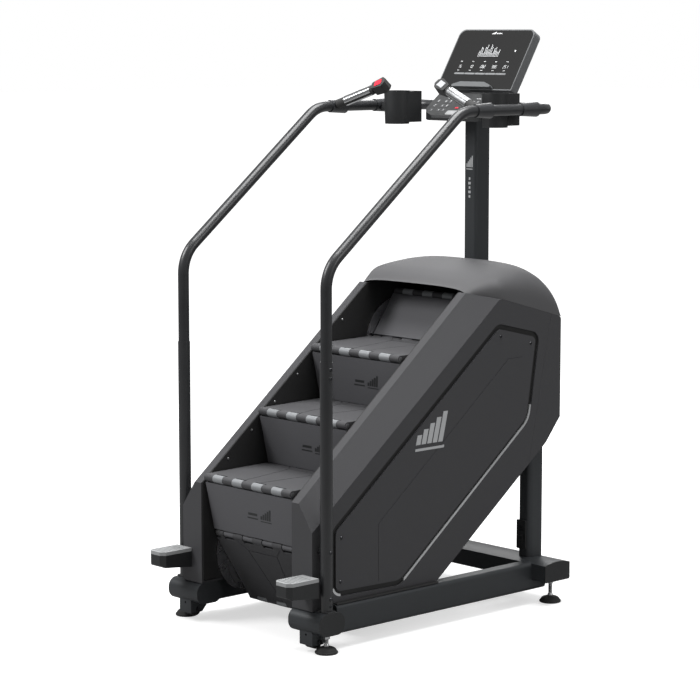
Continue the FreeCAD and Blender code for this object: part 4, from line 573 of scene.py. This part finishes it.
class STAIRCLIMBER_OT_step_finish(bpy.types.Operator):
    """Treads, risers, rods, shafts, sleeves and rollers."""

    bl_idname = "stair_climber.step_finish"
    bl_label = "Step finish"

    def execute(self, context):
        colours = context.scene.stair_climber_colours
        tread = finish("tread_plastic", colours.tread, 0.55, scale=700.0, depth=0.25, tone=0.12, edge=0.3,
                       dust=0.10)
        dress(["flight_treads", "tread_lower", "tread_upper", "return_steps"], tread)
        riser = finish("riser_plastic", colours.riser, 0.48, scale=900.0, depth=0.12, tone=0.08, edge=0.4)
        dress(["flight_risers", "riser_lower", "riser_upper", "riser_rear"], riser)
        sleeve = finish("nosing_sleeve", colours.sleeve, 0.42, scale=900.0, depth=0.08, tone=0.08, edge=0.2)
        dress(["nosing_sleeves", "lower_nosing", "upper_nosing"], sleeve)
        rod = finish("ground_steel", (0.55, 0.55, 0.56), 0.28, metal=1.0, along=(0.2, 9.0, 9.0), depth=0.05)
        dress(["hinge_rods", "top_shaft", "idler_wheel", "top_discs"], rod)
        roller = finish("roller_nylon", (0.06, 0.06, 0.06), 0.5)
        dress(["step_rollers"], roller)
        return {"FINISHED"}


class STAIRCLIMBER_OT_grip_finish(bpy.types.Operator):
    """Grips with their contact plates, and their red and grey buttons."""

    bl_idname = "stair_climber.grip_finish"
    bl_label = "Grips and buttons"

    def execute(self, context):
        colours = context.scene.stair_climber_colours
        grip = finish("grip_rubber", (0.045, 0.046, 0.048), 0.52, scale=1500.0, depth=0.3, edge=0.35)
        dress(["grips"], grip)
        contact = finish("contact_plate", colours.silver, 0.26, metal=1.0, along=(9.0, 0.3, 9.0),
                         depth=0.04, dust=0.0)
        dress(["pulse_contacts"], contact)
        red = finish("stop_red", colours.stop, 0.32, scale=400.0, depth=0.03, tone=0.05, edge=0.2, coat=0.5)
        dress(["stop_button"], red)
        grey = finish("button_grey", (0.32, 0.33, 0.34), 0.35, scale=400.0, depth=0.03, tone=0.05, edge=0.2,
                      coat=0.4)
        dress(["speed_button"], grey)
        return {"FINISHED"}


class STAIRCLIMBER_OT_console_finish(bpy.types.Operator):
    """Housing and black glass of the console, and the caps of the pegs."""

    bl_idname = "stair_climber.console_finish"
    bl_label = "Console finish"

    def execute(self, context):
        # edge=0.9 paints a strong highlight along the housing's corners.
        housing = finish("housing_plastic", (0.10, 0.102, 0.106), 0.42, scale=1100.0, depth=0.08, edge=0.9,
                         edge_radius=0.002)
        dress(["console_housing"], housing)
        glass = finish("screen_glass", (0.004, 0.004, 0.0045), 0.20, scale=30.0, depth=0.0, tone=0.2,
                       edge=0.1, dust=0.0, glint=0.12)
        dress(["console_glass"], glass)
        cap = finish("peg_cap_plastic", (0.34, 0.345, 0.35), 0.38, scale=700.0, depth=0.08, edge=0.4)
        dress(["peg_caps"], cap)
        return {"FINISHED"}


class STAIRCLIMBER_OT_display_marks(bpy.types.Operator):
    """Graph, numbers, small marks and the pale strip on the console glass."""

    bl_idname = "stair_climber.display_marks"
    bl_label = "Display marks"

    def execute(self, context):
        display = context.scene.stair_climber_colours.display
        lit = finish("display_lit", display, 0.4, edge=0.0, dust=0.0, emission=0.30)
        count = context.scene.stair_climber_sizes.graph_columns
        order = np.arange(count)
        swell = np.exp(-((order - 6.5) / 9.0) ** 2)
        heights = np.round(3 + 7 * np.abs(np.sin(order * 0.9 + 0.4)) * swell)
        column, row = np.meshgrid(order, np.arange(10), indexing="ij")
        shown = row < heights[:, None]
        pitch = 104.0 / count
        spots = np.stack([-50.0 + pitch * (column[shown] + 0.5), 140.0 + 5.1 * row[shown]], axis=1)
        dots = np.concatenate([spots, np.tile([pitch * 0.50, 2.7, 0.0], (len(spots), 1))],
                              axis=1) * ROW_SCALE
        printed("display_graph", BOARD, soft_rectangles(dots, 3.0, 8), lit, "frame")
        columns = (-115.0, -57.0, 1.0, 57.0, 113.0)
        rows = []
        for middle, text in zip(columns, ("15", "10", "082", "306", "251")):
            rows += digit_bars(text, middle, 96.0, 5.0, 11.5, 8.6)
        printed("display_numbers", BOARD, bars(np.array(rows) * ROW_SCALE), lit, "frame")
        lines = ((117.0, 3.4, 2.2), (80.0, 3.6, 1.8))   # height, then the width and height of a mark
        small = [(middle + dx, y, wide, tall, 0.2) for y, wide, tall in lines for middle in columns
                 for dx in (-3.0, 2.5)]
        small += [(128.0, 163.0, 5.0, 6.0, 0.2)]
        small += [(-20.0 + 5.0 * step, 233.0 + 1.3 * step, 3.4, 2.0 + 2.4 * step, 0.25)
                  for step in range(4)]
        small += [(4.0 + 6.5 * step, 235.0, 3.6, 4.4, 0.25) for step in range(4)]
        printed("display_small_marks", BOARD, bars(np.array(small) * ROW_SCALE), lit, "frame")
        pale = finish("display_strip_ink", (0.20, 0.205, 0.21), 0.4, edge=0.0, dust=0.0, depth=0.02)
        segments = [(-103.0 + 51.5 * step, 66.5, 50.0, 7.0, 0.0) for step in range(5)]
        strip = soft_rectangles(np.array(segments) * ROW_SCALE, 8.0, 24)
        printed("display_strip", BOARD, strip, pale, "frame")
        return {"FINISHED"}


class STAIRCLIMBER_OT_keypad_marks(bpy.types.Operator):
    """Key symbols, numbers, the red key and the silver plate of the keypad."""

    bl_idname = "stair_climber.keypad_marks"
    bl_label = "Keypad marks"

    def execute(self, context):
        ink = finish("key_ink", (0.72, 0.73, 0.74), 0.45, edge=0.0, dust=0.0, depth=0.02)
        keys = [(side * x, z) for side in (-1, 1) for x in (118.0, 79.0, 57.0) for z in (29.0, 55.0, 80.0)]
        caps = finish("key_cap", (0.035, 0.036, 0.038), 0.4, edge=0.5, depth=0.05)
        outlines = soft_rectangles([np.multiply((x, z, 17.0, 17.0, 0.0), ROW_SCALE) for x, z in keys])
        pads = plates("key_pads", KEYPAD, outlines, KEY_HEIGHT, KEY_HEIGHT / 2)
        wear(pads, caps, "frame")
        symbols = []
        for place, (x, z) in enumerate(keys):
            symbols += digit_bars(str(place % 9 + 1), x, z, 4.6, 8.0, 6.0)
        symbols += [(-6.0 + 6.0 * step, 92.0, 4.0, 3.0, 0.0) for step in range(3)]
        symbols += [(side * (64.0 + 7.0 * step), 97.0, 5.0, 3.0, 0.0)
                    for side in (-1, 1) for step in range(3)]
        lifted = (KEYPAD[0] + KEYPAD[3] * KEY_HEIGHT,) + KEYPAD[1:]
        printed("key_symbols", lifted, bars(np.array(symbols) * ROW_SCALE), ink, "frame")
        red = finish("red_key_ink", (0.55, 0.01, 0.03), 0.4, edge=0.0, dust=0.0, depth=0.02, coat=0.3)
        outline = soft_rectangles([np.multiply((0.0, 44.0, 16.0, 7.0, 0.0), ROW_SCALE)])
        stop = plates("red_key", KEYPAD, outline, 1.0 * MM, 0.5 * MM)
        wear(stop, red, "frame")
        silver = finish("silver_plate", (0.45, 0.455, 0.46), 0.34, metal=0.5, along=(9.0, 0.4, 9.0),
                        depth=0.03)
        outline = soft_rectangles([np.multiply((0.0, 16.0, 62.0, 24.0, 0.0), ROW_SCALE)], 7.0, 32)
        plate = plates("silver_plate", KEYPAD, outline, 1.4 * MM, 0.8 * MM)
        wear(plate, silver, "frame")
        return {"FINISHED"}


class STAIRCLIMBER_OT_emblems(bpy.types.Operator):
    """A plain mark of climbing bars on the risers, the access panels and the mast."""

    bl_idname = "stair_climber.emblems"
    bl_label = "Emblems"

    def execute(self, context):
        dark = finish("emblem_dark", (0.018, 0.019, 0.020), 0.5, edge=0.0, dust=0.0, depth=0.02)
        pale = finish("emblem_pale", (0.50, 0.51, 0.52), 0.5, edge=0.0, dust=0.0, depth=0.02)
        slope = np.array([0.0, *RISER_SHEER]) / math.hypot(*RISER_SHEER)
        out = np.cross(RIGHT, slope)
        for place in range(3):
            hinge = np.array([0.0, FIRST_HINGE[0] + STEP_RUN * place, FIRST_HINGE[1] + STEP_RISE * place])
            plane = (hinge + out * RISER_FACE, RIGHT, slope, out)
            rows = stair_mark(70.0, 103.0, 60.0, 44.0)
            rows += [(4.0, 103.0, 46.0, 9.0, 0.25), (0.0, 88.0, 54.0, 5.0, 0.25)]
            outlines = bars(np.array(rows) * ROW_SCALE)
            printed("riser_mark_%d" % place, plane, outlines, dark, "flight")
        for side, plane in SIDES.items():
            rows = stair_mark(-10.0 * plane[1][1], 672.0, 150.0, 110.0)
            printed("panel_mark_" + side, plane, bars(np.array(rows) * ROW_SCALE), pale, "frame")
        plane = (BACK * MAST_FRONT, RIGHT, UP, -BACK)
        rows = stair_mark(0.0, 1560.0, 34.0, 44.0, 0.0)
        rows += [(0.0, 1505.0 - 16.0 * step, 8.0 + 4.0 * (step % 2), 9.0, 0.0) for step in range(5)]
        printed("mast_mark", plane, bars(np.array(rows) * ROW_SCALE), pale, "frame")
        return {"FINISHED"}


# Stations of the hood from its lip to its rear, in millimetres: Y, half width, foot height, crown height.
HOOD_STATIONS = [
    (228.5, 263.0, 1110.0, 1140.0), (240.0, 270.0, 1110.0, 1158.0), (262.0, 283.0, 1110.0, 1174.0),
    (300.0, 308.0, 1110.0, 1192.0), (333.0, 333.5, 1109.0, 1201.0), (377.0, 333.5, 1096.7, 1210.0),
    (434.0, 333.5, 1080.8, 1218.0), (491.0, 333.5, 1064.9, 1220.0), (540.0, 333.5, 1051.2, 1211.0),
    (577.0, 333.5, 1040.8, 1192.0), (604.0, 333.5, 1033.3, 1166.0), (622.0, 333.5, 1028.2, 1135.0),
    (634.0, 333.5, 1024.9, 1095.0), (640.0, 333.5, 1023.6, 1050.0), (643.8, 333.5, 1023.6, 1024.6),
]
HOOD_WALL = 5.0


def arch_grid(stations, inset, power, steps=96, levels=64):
    """Points of the arch |x / w|^n + |(z - foot) / h|^n = 1 along smoothed stations, drawn in by inset."""
    table = np.asarray(stations, dtype=float)
    spread = np.sin(np.linspace(0.0, math.pi / 2.0, levels))
    along = table[0, 0] + inset + (table[-1, 0] - table[0, 0] - 2.0 * inset) * spread
    kernel = np.array([1.0, 2.0, 3.0, 2.0, 1.0]) / 9.0
    columns = [np.pad(np.interp(along, table[:, 0], table[:, k]), 2, mode="edge") for k in (1, 2, 3)]
    wide, foot, crown = [np.convolve(column, kernel, mode="valid") for column in columns]
    crown[-1] = table[-1, 3]
    turn = np.linspace(0.0, math.pi, steps)
    x = np.sign(np.cos(turn)) * np.abs(np.cos(turn)) ** (2.0 / power)
    z = np.abs(np.sin(turn)) ** (2.0 / power)
    points = np.empty((levels, steps, 3))
    points[..., 0] = (wide[:, None] - inset) * x
    points[..., 1] = along[:, None]
    points[..., 2] = foot[:, None] + np.maximum(crown - foot - inset, 0.2)[:, None] * z
    return points * MM


class STAIRCLIMBER_OT_hood(bpy.types.Operator):
    """Smooth arched hood: an outer and an inner surface joined along every edge."""

    bl_idname = "stair_climber.hood"
    bl_label = "Hood"

    def execute(self, context):
        power = context.scene.stair_climber_sizes.hood_power
        outer = arch_grid(HOOD_STATIONS, 0.0, power)
        inner = arch_grid(HOOD_STATIONS, HOOD_WALL, power)
        levels, steps = outer.shape[:2]
        index = np.arange(2 * levels * steps).reshape(2, levels, steps)
        skin = index[0]
        corners = [skin[:-1, :-1], skin[:-1, 1:], skin[1:, 1:], skin[1:, :-1]]
        shell = np.stack(corners, axis=-1).reshape(-1, 4)
        rim = np.concatenate([skin[0, :-1], skin[:-1, -1], skin[-1, :0:-1], skin[:0:-1, 0]])
        edge = np.stack([rim, np.roll(rim, -1)], axis=-1)
        shift = levels * steps
        band = np.concatenate([edge[:, ::-1], edge + shift], axis=-1)
        points = np.concatenate([outer.reshape(-1, 3), inner.reshape(-1, 3)])
        hood = put_mesh("hood_shell", points, [np.concatenate([shell[:, ::-1], shell + shift, band])])
        smooth(hood, 45.0)
        wear(hood, bpy.data.materials["hood_plastic"], "frame")
        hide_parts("hood")
        return {"FINISHED"}


def dome(radius, height):
    """Profile of a button head: a straight rim, then a quarter ellipse up to the crown."""
    turn = np.linspace(0.0, math.pi / 2 * 0.98, 7)
    return [(radius * 0.55, -0.3 * MM), (radius, -0.3 * MM)] + [
        (radius * math.cos(t), 0.12 * height + 0.88 * height * math.sin(t)) for t in turn]


class STAIRCLIMBER_OT_levelling_feet(bpy.types.Operator):
    """Rubber pads, steel stems with ball joints, and lock nuts, each turned from its profile."""

    bl_idname = "stair_climber.levelling_feet"
    bl_label = "Levelling feet"

    def execute(self, context):
        rubber = finish("foot_rubber", (0.022, 0.022, 0.023), 0.6, scale=500.0, depth=0.2, edge=0.4,
                        dust=0.1)
        steel = finish("zinc_steel", (0.56, 0.565, 0.57), 0.3, metal=1.0, scale=300.0, depth=0.05, edge=0.2)
        turn = np.linspace(0.0, math.pi / 2, 9)
        pad = [(0.012, 0.0), (0.0365, 0.0), (0.0385, 0.0015), (0.039, 0.004), (0.0385, 0.0065),
               (0.0360, 0.0080)]
        pad += [(0.0125 + 0.0225 * math.cos(t), 0.0080 + 0.0140 * math.sin(t)) for t in turn[1:]]
        ball_turn = np.linspace(0.35, math.pi - 0.8, 12)
        ball = [(0.0095 * math.sin(t), 0.025 - 0.0095 * math.cos(t)) for t in ball_turn]
        pitch = 0.0015
        for corner in ("front_left", "front_right", "rear_left", "rear_right"):
            node_name = "levelling_foot_" + corner
            low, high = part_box(node_name)
            x, y, top = (low[0] + high[0]) / 2, (low[1] + high[1]) / 2, high[2]
            centre = [(x, y, 0.0)]
            turned_pad = lathe("foot_pad_" + corner, pad, centre, UP, 48)
            foot = wear(turned_pad, rubber, node_name)
            turns = np.arange(0.0345, top - 0.0005, pitch / 2)
            thread = [(0.0070 if place % 2 else 0.0064, float(height)) for place,
                      height in enumerate(turns)]
            stem = lathe("foot_stem_" + corner, ball + thread, centre, UP, 28)
            wear(stem, steel, node_name)
            nut_top = top - 0.0225
            nut = [(0.0072, nut_top - 0.0155), (0.0108, nut_top - 0.0155), (0.0120, nut_top - 0.0140),
                   (0.0120, nut_top - 0.0015), (0.0108, nut_top), (0.0072, nut_top)]
            lock_nut = lathe("foot_nut_" + corner, nut, centre, UP, 6, 10.0)
            wear(lock_nut, steel, node_name)
            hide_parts(node_name)
        return {"FINISHED"}


class STAIRCLIMBER_OT_bolts(bpy.types.Operator):
    """Black fasteners, and a row of domed screws in each wall beside the steps."""

    bl_idname = "stair_climber.bolts"
    bl_label = "Bolts and screws"

    def execute(self, context):
        radius = context.scene.stair_climber_sizes.bolt_radius
        black = finish("black_oxide", (0.045, 0.046, 0.05), 0.28, metal=0.85, scale=300.0, depth=0.04,
                       edge=0.5, dust=0.02)
        dress(["fasteners"], black)
        zinc = finish("screw_zinc", (0.38, 0.385, 0.39), 0.3, metal=0.9, scale=300.0, depth=0.04, edge=0.3,
                      dust=0.02)
        y = np.linspace(-0.44, 0.10, 6)
        z = 0.496 + (y + 0.523) * STEP_RISE / STEP_RUN   # a line beside the steps, at their pitch
        for side, sign in (("right", 1.0), ("left", -1.0)):
            spots = np.stack([np.full_like(y, sign * WALL_FACE), y, z], axis=1)
            head = dome(radius * 0.7, radius * 0.4)
            screws = lathe("wall_screws_" + side, head, spots, (-sign, 0, 0), 20)
            wear(screws, zinc, "frame")
        return {"FINISHED"}


class STAIRCLIMBER_OT_transport_wheels(bpy.types.Operator):
    """Rubber transport wheels with rounded shoulders and a recessed hub."""

    bl_idname = "stair_climber.transport_wheels"
    bl_label = "Transport wheels"

    def execute(self, context):
        rubber = finish("wheel_rubber", (0.024, 0.024, 0.025), 0.6, scale=500.0, depth=0.2, edge=0.3)
        profile = [(0.0052, -0.0195), (0.012, -0.0195), (0.0125, -0.0170), (0.0190, -0.0170),
                   (0.0195, -0.0195), (0.0225, -0.0198),
                   (0.0245, -0.0180), (0.0250, -0.0150), (0.0250, 0.0150), (0.0245, 0.0180),
                   (0.0225, 0.0198),
                   (0.0195, 0.0195), (0.0190, 0.0170), (0.0125, 0.0170), (0.0120, 0.0195), (0.0052, 0.0195)]
        for side in ("left", "right"):
            name = "transport_wheel_" + side
            low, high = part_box(name)
            centre = [tuple((a + b) / 2 for a, b in zip(low, high))]
            tyre = lathe("tyre_" + side, profile, centre, (1, 0, 0), 48)
            wheel = wear(tyre, rubber, name)
            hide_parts(name)
        return {"FINISHED"}


class STAIRCLIMBER_OT_studio(bpy.types.Operator):
    """Pale floor, soft lights and the camera."""

    bl_idname = "stair_climber.studio"
    bl_label = "Studio"

    def execute(self, context):
        scene = context.scene
        half = scene.stair_climber_sizes.floor_half
        corner = np.array([[-half, -half, 0.0], [half, -half, 0.0], [half, half, 0.0], [-half, half, 0.0]])
        floor = put_mesh("studio_floor", corner, [np.array([[0, 1, 2, 3]])])
        paint = bpy.data.materials.new("studio_floor")
        paint.use_nodes = True
        tree = paint.node_tree
        seen = node(tree, "ShaderNodeBsdfDiffuse", {"Color": (0.62, 0.62, 0.62, 1.0)})
        place = node(tree, "ShaderNodeNewGeometry").outputs["Position"]
        away = node(tree, "ShaderNodeVectorMath", {0: place}, operation="LENGTH").outputs["Value"]
        fill = node(tree, "ShaderNodeMapRange",
                    {"Value": away, "From Min": 1.2, "From Max": 3.6, "To Min": 0.60, "To Max": 1.0})
        glow = node(tree, "ShaderNodeEmission", {"Color": WHITE, "Strength": fill.outputs["Result"]})
        shown = node(tree, "ShaderNodeAddShader", {0: seen.outputs[0], 1: glow.outputs[0]})
        paper = tree.nodes["Principled BSDF"]
        split_by_ray(tree, paper, shown, tree.nodes["Material Output"])
        paper.inputs["Base Color"].default_value = (0.30, 0.30, 0.30, 1.0)
        paper.inputs["Roughness"].default_value = 0.9
        paper.inputs["Specular IOR Level"].default_value = 0.1
        floor.data.materials.append(paint)
        world = bpy.data.worlds.new("studio")
        world.use_nodes = True
        sky = world.node_tree.nodes["Background"]
        sky.inputs["Color"].default_value = WHITE
        sky.inputs["Strength"].default_value = 0.30
        white = node(world.node_tree, "ShaderNodeBackground", {"Color": WHITE, "Strength": 1.0})
        split_by_ray(world.node_tree, sky, white, world.node_tree.nodes["World Output"])
        scene.world = world
        lights = (
            ("key", (-2.2, -3.6, 4.4), (0.0, 0.0, 0.9), 2.2, 190.0),
            ("top", (0.2, 0.2, 5.4), (0.0, 0.1, 0.8), 3.2, 330.0),
            ("side", (5.0, 1.4, 3.2), (0.0, 0.1, 0.9), 2.0, 45.0),
            ("back", (-3.0, 3.6, 3.4), (0.0, 0.2, 1.0), 2.4, 70.0),
        )
        for name, place, aim, size, power in lights:
            lamp = bpy.data.lights.new("light_" + name, "AREA")
            lamp.shape, lamp.size, lamp.energy = "SQUARE", size, power
            holder = bpy.data.objects.new("light_" + name, lamp)
            scene.collection.objects.link(holder)
            back = np.array(place) - np.array(aim)
            holder.location = place
            holder.rotation_mode = "QUATERNION"
            holder.rotation_quaternion = Vector(back).to_track_quat("Z", "Y")
        lens = bpy.data.cameras.new("camera")
        lens.lens, lens.sensor_width = LENS, 36.0
        lens.clip_start, lens.clip_end = 0.1, 200.0
        camera = bpy.data.objects.new("camera", lens)
        camera.location = CAMERA_PLACE
        camera.rotation_euler = (math.radians(90.0 - CAMERA_DIP), 0.0, math.radians(CAMERA_TURN))
        scene.collection.objects.link(camera)
        scene.camera = camera
        scene.view_settings.view_transform = "Standard"
        return {"FINISHED"}


class STAIRCLIMBER_PT_sidebar(bpy.types.Panel):
    """Every piece of the stair climber, with its sizes and colours."""

    bl_idname = "STAIRCLIMBER_PT_sidebar"
    bl_label = "Stair climber"
    bl_space_type = "VIEW_3D"
    bl_region_type = "UI"
    bl_category = "Stair climber"

    def draw(self, context):
        layout = self.layout
        for group in (context.scene.stair_climber_colours, context.scene.stair_climber_sizes):
            for key in group.__annotations__:
                layout.prop(group, key)
        for operator in OPERATORS:
            layout.operator(operator.bl_idname)


OPERATORS = (
    STAIRCLIMBER_OT_frame_finish,
    STAIRCLIMBER_OT_cover_finish,
    STAIRCLIMBER_OT_hood,
    STAIRCLIMBER_OT_step_finish,
    STAIRCLIMBER_OT_grip_finish,
    STAIRCLIMBER_OT_console_finish,
    STAIRCLIMBER_OT_display_marks,
    STAIRCLIMBER_OT_keypad_marks,
    STAIRCLIMBER_OT_emblems,
    STAIRCLIMBER_OT_levelling_feet,
    STAIRCLIMBER_OT_bolts,
    STAIRCLIMBER_OT_transport_wheels,
    STAIRCLIMBER_OT_studio,
)
CLASSES = (StairClimberColours, StairClimberSizes) + OPERATORS + (STAIRCLIMBER_PT_sidebar,)


def register():
    for kind in CLASSES:
        bpy.utils.register_class(kind)
    bpy.types.Scene.stair_climber_colours = PointerProperty(type=StairClimberColours)
    bpy.types.Scene.stair_climber_sizes = PointerProperty(type=StairClimberSizes)


def unregister():
    del bpy.types.Scene.stair_climber_colours
    del bpy.types.Scene.stair_climber_sizes
    for kind in reversed(CLASSES):
        bpy.utils.unregister_class(kind)


def main():
    register()
    for operator in OPERATORS:
        family, name = operator.bl_idname.split(".")
        getattr(getattr(bpy.ops, family), name)()


if __name__ == "__main__":
    main()
